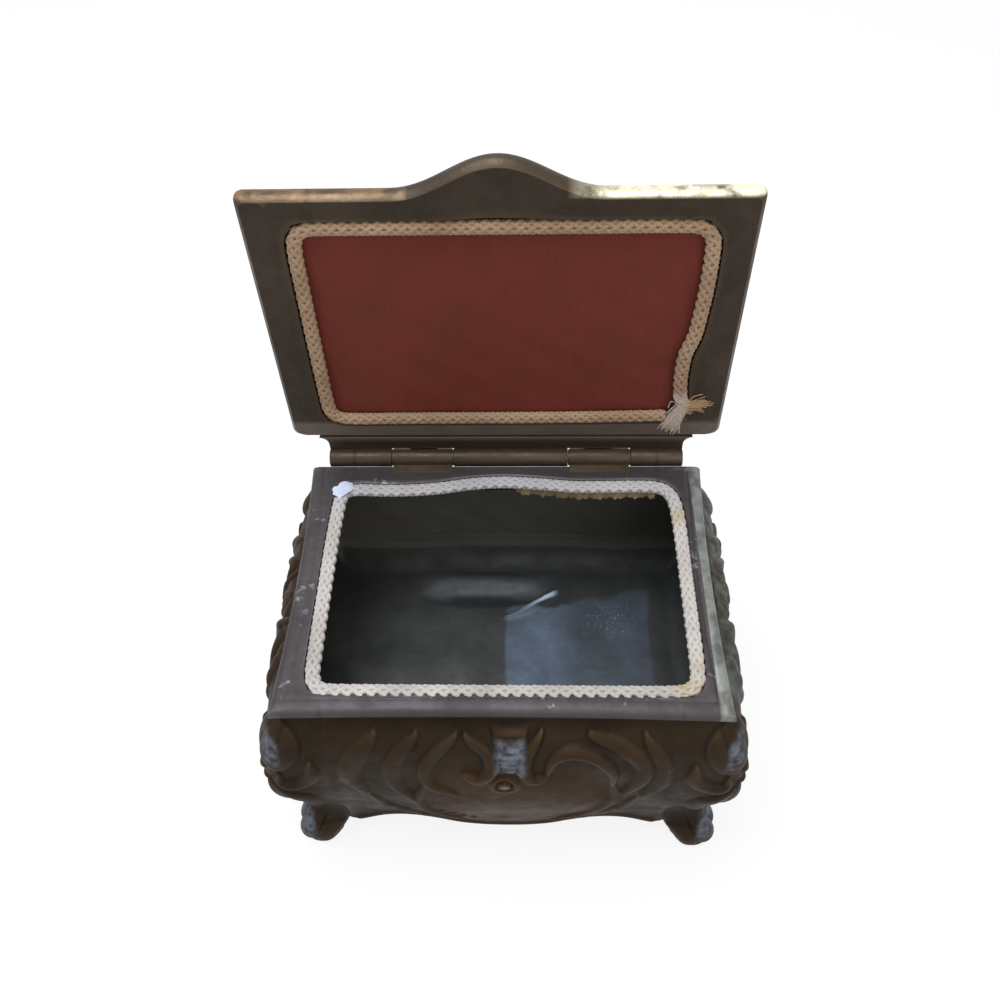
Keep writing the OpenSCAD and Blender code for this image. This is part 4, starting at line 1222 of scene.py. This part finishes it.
# Painted highlight: pale yellow along the right of the lid's top edge.
painted_edge_highlight = product(on_edge, ramp(product(px, 16), (0.24, 0.0), (0.42, 1.0)),
               blotches(tree, 130, (0.36, 0.1), (0.52, 1.0), 5))
brown = product(on_edge, maths("LESS_THAN", px, -0.02),
                blotches(tree, 150, (0.4, 0.1), (0.6, 0.7), 5))
layers(shader, colour, (painted_light_back_strip, (98, 86, 78)), (painted_edge_highlight, (226, 218, 186)), (brown, (136, 108, 78)))
print(lid_metal.name, len(tree.nodes), "nodes")

# %% Rim metal
rim_metal, tree, shader, colour = patina("rim_patina", (32, 29, 30), (66, 61, 62),
                                         (118, 112, 112), (0.4, 0.62), 0.4, 0.5, 0.8)
px, _, pz = place_of(tree)
nicks = product(window(pz, (RIM_TOP - 0.6) * MM, 0.09, 0.0002),
                blotches(tree, 170, (0.62, 0.0), (0.7, 0.55), 4, 0.7))
# The right outer edge is green-grey, lightened by a painted highlight.
green = product(window(px, 0.0503, 0.0535, 0.0002),
                blotches(tree, 260, (0.38, 0.3), (0.62, 0.9)))
layers(shader, colour, (nicks, (150, 148, 146)), (green, (134, 138, 132)))
print(rim_metal.name, len(tree.nodes), "nodes")

# %% Pin steel
pin_metal, *_ = patina("pin_steel", (50, 46, 42), (140, 132, 122), (190, 184, 176), (0.3, 0.45),
                       0.5, 0.9)

# %% [markdown]
# The floor is bare grey metal. Right of a crease it has a painted blue-grey sheen with a curved
# left edge, painted glints and a painted highlight along the crease; behind the crease lies a
# hollow like a half-closed eye, with a painted highlight over it and painted shade in its slit; the
# front left is a little paler, painted shade darkens the floor's back, and painted light makes the
# pan's upright border as pale as the walls behind it.

# %% Inner metal
inner_metal, tree, shader, colour = patina("inner_metal", (30, 31, 31), (53, 54, 53),
                                           (96, 102, 110), (0.5, 0.7), 0.25, 0.3, 0.8)
px, py, pz = place_of(tree)
FLOOR_TOP = 0.0305
mottle = blotches(tree, 55, (0.3, 0.35), (0.66, 1.0), 5, 0.7)
wander = product(maths("SUBTRACT", noise(tree, 60, 3, 0.5), 0.5), 0.012)
# Painted light: the pan's upright border is lightened to match the walls.
painted_light_border = window(pz, FLOOR_TOP, 0.08, 0.002)
# Painted shade: the floor darkens towards the back.
painted_back_shade = product(window(py, 0.011, 0.08, 0.004), maths("LESS_THAN", pz, FLOOR_TOP), 0.45)

# Painted sheen: blue-grey right of the crease, with painted glints.
far_edge = maths("SUBTRACT", maths("ADD", py, wander), product(px, 0.15))
back_off = maths("SUBTRACT", py, 0.002)
left_edge = maths("ADD", maths("SUBTRACT", px, product(back_off, back_off, 3.7)),
                  product(wander, 0.15))
brighter = maths("ADD", product(window(px, -0.004, 0.017, 0.005), 0.6), 0.4)
painted_sheen = product(region((left_edge, -0.0006, 0.0415, 0.0008), (far_edge, -0.07, 0.0125, 0.0012),
                        (pz, 0.02, 0.03, 0.0015)), brighter, mottle)
painted_glints = product(blotches(tree, 1100, (0.55, 0.0), (0.66, 1.0), 3, 0.6), 0.5,
                 region((px, 0.024, 0.037, 0.004), (py, 0.005, 0.014, 0.003)))
pale = product(region((px, -0.044, -0.010, 0.004), (py, -0.034, -0.006, 0.006)), mottle, 0.5)
# Painted highlight over the eye-shaped hollow, and painted shade in its slit.
painted_eye_highlight = product(region((px, -0.024, 0.010, 0.007), (py, 0.0165, 0.0245, 0.002)), mottle, 0.6)
painted_slit_shade = product(region((px, -0.019, 0.004, 0.005), (py, 0.0155, 0.0182, 0.0009)), 0.7)
# Painted highlight along the crease.
rise = maths("SUBTRACT", maths("SUBTRACT", py, (15 + BASE_Y) * MM),
             product(maths("ADD", px, 0.001), 0.59))
painted_crease_highlight = region((rise, -0.0012, 0.0003, 0.0005), (px, 0.0, 0.0145, 0.0015), (px, 0.007, 0.02, 0.005))
layers(shader, colour, (painted_light_border, (92, 92, 87)), (painted_back_shade, (32, 32, 31)), (painted_sheen, (86, 99, 117)),
       (painted_glints, (120, 132, 150)), (pale, (86, 87, 86)), (painted_eye_highlight, (96, 98, 104)),
       (painted_slit_shade, (22, 22, 22)), (painted_crease_highlight, (176, 190, 208)))
print(inner_metal.name, len(tree.nodes), "nodes")

# %% [markdown]
# ## Cloth, cord and card
# The silk is dull red with a fine rib and faded patches. The cords are cotton, the lower one
# nearly white with yellow glue at its corners, the upper one darker and browner with painted shade.

# %% Cloth
def cloth(name, base, other, weave, depth, rough=0.8, sheen=0.2):
    """Soft finish in two patchy colours, with a fine weave."""
    material, tree, shader = finish_material(name)
    base, other = srgb(*base), srgb(*other)
    blotch = blotches(tree, 60, (0.36, 0.0), (0.66, 1.0), 4, 0.6)
    fine = noise(tree, weave, 2, 0.5)
    colour = mix(blotch, base, other)
    colour = mix(product(fine, 0.35), colour, tuple(0.55 * c for c in base))
    join(colour, shader.inputs["Base Color"])
    shader.inputs["Specular IOR Level"].default_value = 0.2
    shader.inputs["Roughness"].default_value = rough
    shader.inputs["Sheen Weight"].default_value = sheen
    bump(shader, fine, depth)
    return material, tree, shader, colour


# %% Silk finish
silk_cloth, tree, shader, colour = cloth("lining_silk", (112, 46, 37), (98, 46, 32),
                                         2600, 0.00008, 0.75, 0.0)
rib = product(noise(tree, 1400, 2, 0.5, 0, (1, 1, 0.12)), 0.35)
layers(shader, colour, (rib, (66, 26, 20)))

# %% Cotton finishes
cotton, tree, shader, colour = cloth("base_cord_cotton", (192, 186, 180), (160, 154, 150),
                                     2200, 0.00012, 0.85, 0.1)
px, py, _ = place_of(tree)
ends = maths("ABSOLUTE", maths("ADD", py, (2 - BASE_Y) * MM))
stain = product(region((px, 0.0395, 0.06, 0.002), (ends, 0.019, 0.04, 0.003)),
                blotches(tree, 150, (0.4, 0.1), (0.6, 0.75), 3, 0.5))
cool = product(window(py, 0.018, 0.05, 0.003), 0.55)
layers(shader, colour, (stain, (160, 142, 104)), (cool, (164, 164, 170)))
# Painted shade: the lid's cord is darker and browner than the lower one.
painted_shade_cotton, *_ = cloth("lid_cord_cotton", (166, 140, 114), (138, 112, 88),
                        2200, 0.00012, 0.85, 0.1)
frayed_cotton, tree, shader, colour = cloth("frayed_cotton", (190, 176, 164), (168, 152, 138),
                                            2200, 0.0001)
px, _, _ = place_of(tree)
layers(shader, colour, (window(px, 0.0485, 0.08, 0.0012), (160, 130, 92)))

# %% Card, tape and old lining
card, *_ = cloth("lining_card", (150, 132, 104), (134, 116, 90), 900, 0.0001)
tape_cloth, *_ = cloth("cloth_tape", (196, 204, 222), (160, 172, 196), 1600, 0.00008)
old_cloth, *_ = cloth("old_lining", (150, 132, 96), (104, 88, 62), 1500, 0.0001)
print(len(bpy.data.materials), "materials")

# %% [markdown]
# ## Which piece is what
# Each piece rides on the base or the lid, stands for its imported nodes, and is given one material.

# %% Bodies and materials
CASTINGS = {
    "front_panel": front, "back_panel": back, "left_panel": left, "right_panel": right,
    "front_left_corner": front_left, "front_right_corner": front_right,
    "back_left_corner": back_left, "back_right_corner": back_right}
PIECES = [(obj, "base", "patinated_casting", bronze, node) for node, obj in CASTINGS.items()]
PIECES += [
    (rim, "base", "rim_metal", rim_metal, "rim_frame"),
    (pan, "base", "inner_metal", inner_metal, "floor_pan"),
    # The rim's hinge leaf takes the lid's paler metal: painted light where it lies in shade.
    (rim_leaf, "base", "patinated_casting", lid_metal, "rim_hinge_leaf"),
    (lid_leaf, "lid", "patinated_casting", lid_metal, "lid_hinge_leaf"),
    (lid, "lid", "patinated_casting", lid_metal, "lid_casting"),
    (silk, "lid", "lining_silk", silk_cloth, "lining_silk"),
    (base_braid, "base", "braided_cord", cotton, "base_cord"),
    (lid_braid, "lid", "braided_cord", painted_shade_cotton, "lid_cord"),
    (frayed, "lid", "braided_cord", frayed_cotton, "lid_cord_end"),
    (tape, "base", "cloth_tape", tape_cloth, "cord_joint_tape"),
    (remnant, "base", "old_lining", old_cloth, "lining_remnant"),
]


def paint(obj, material):
    """Give a piece one material."""
    obj.data.materials.clear()
    obj.data.materials.append(material)


for obj, body, slot, material, node in PIECES:
    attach(obj, body)
    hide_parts(node)
    paint(obj, material)
for node, material in (("hinge_pin", pin_metal), ("lining_card", card)):
    paint(bpy.data.objects[node], material)

low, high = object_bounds()
print(len(PIECES), "pieces from", low[:], "to", high[:])
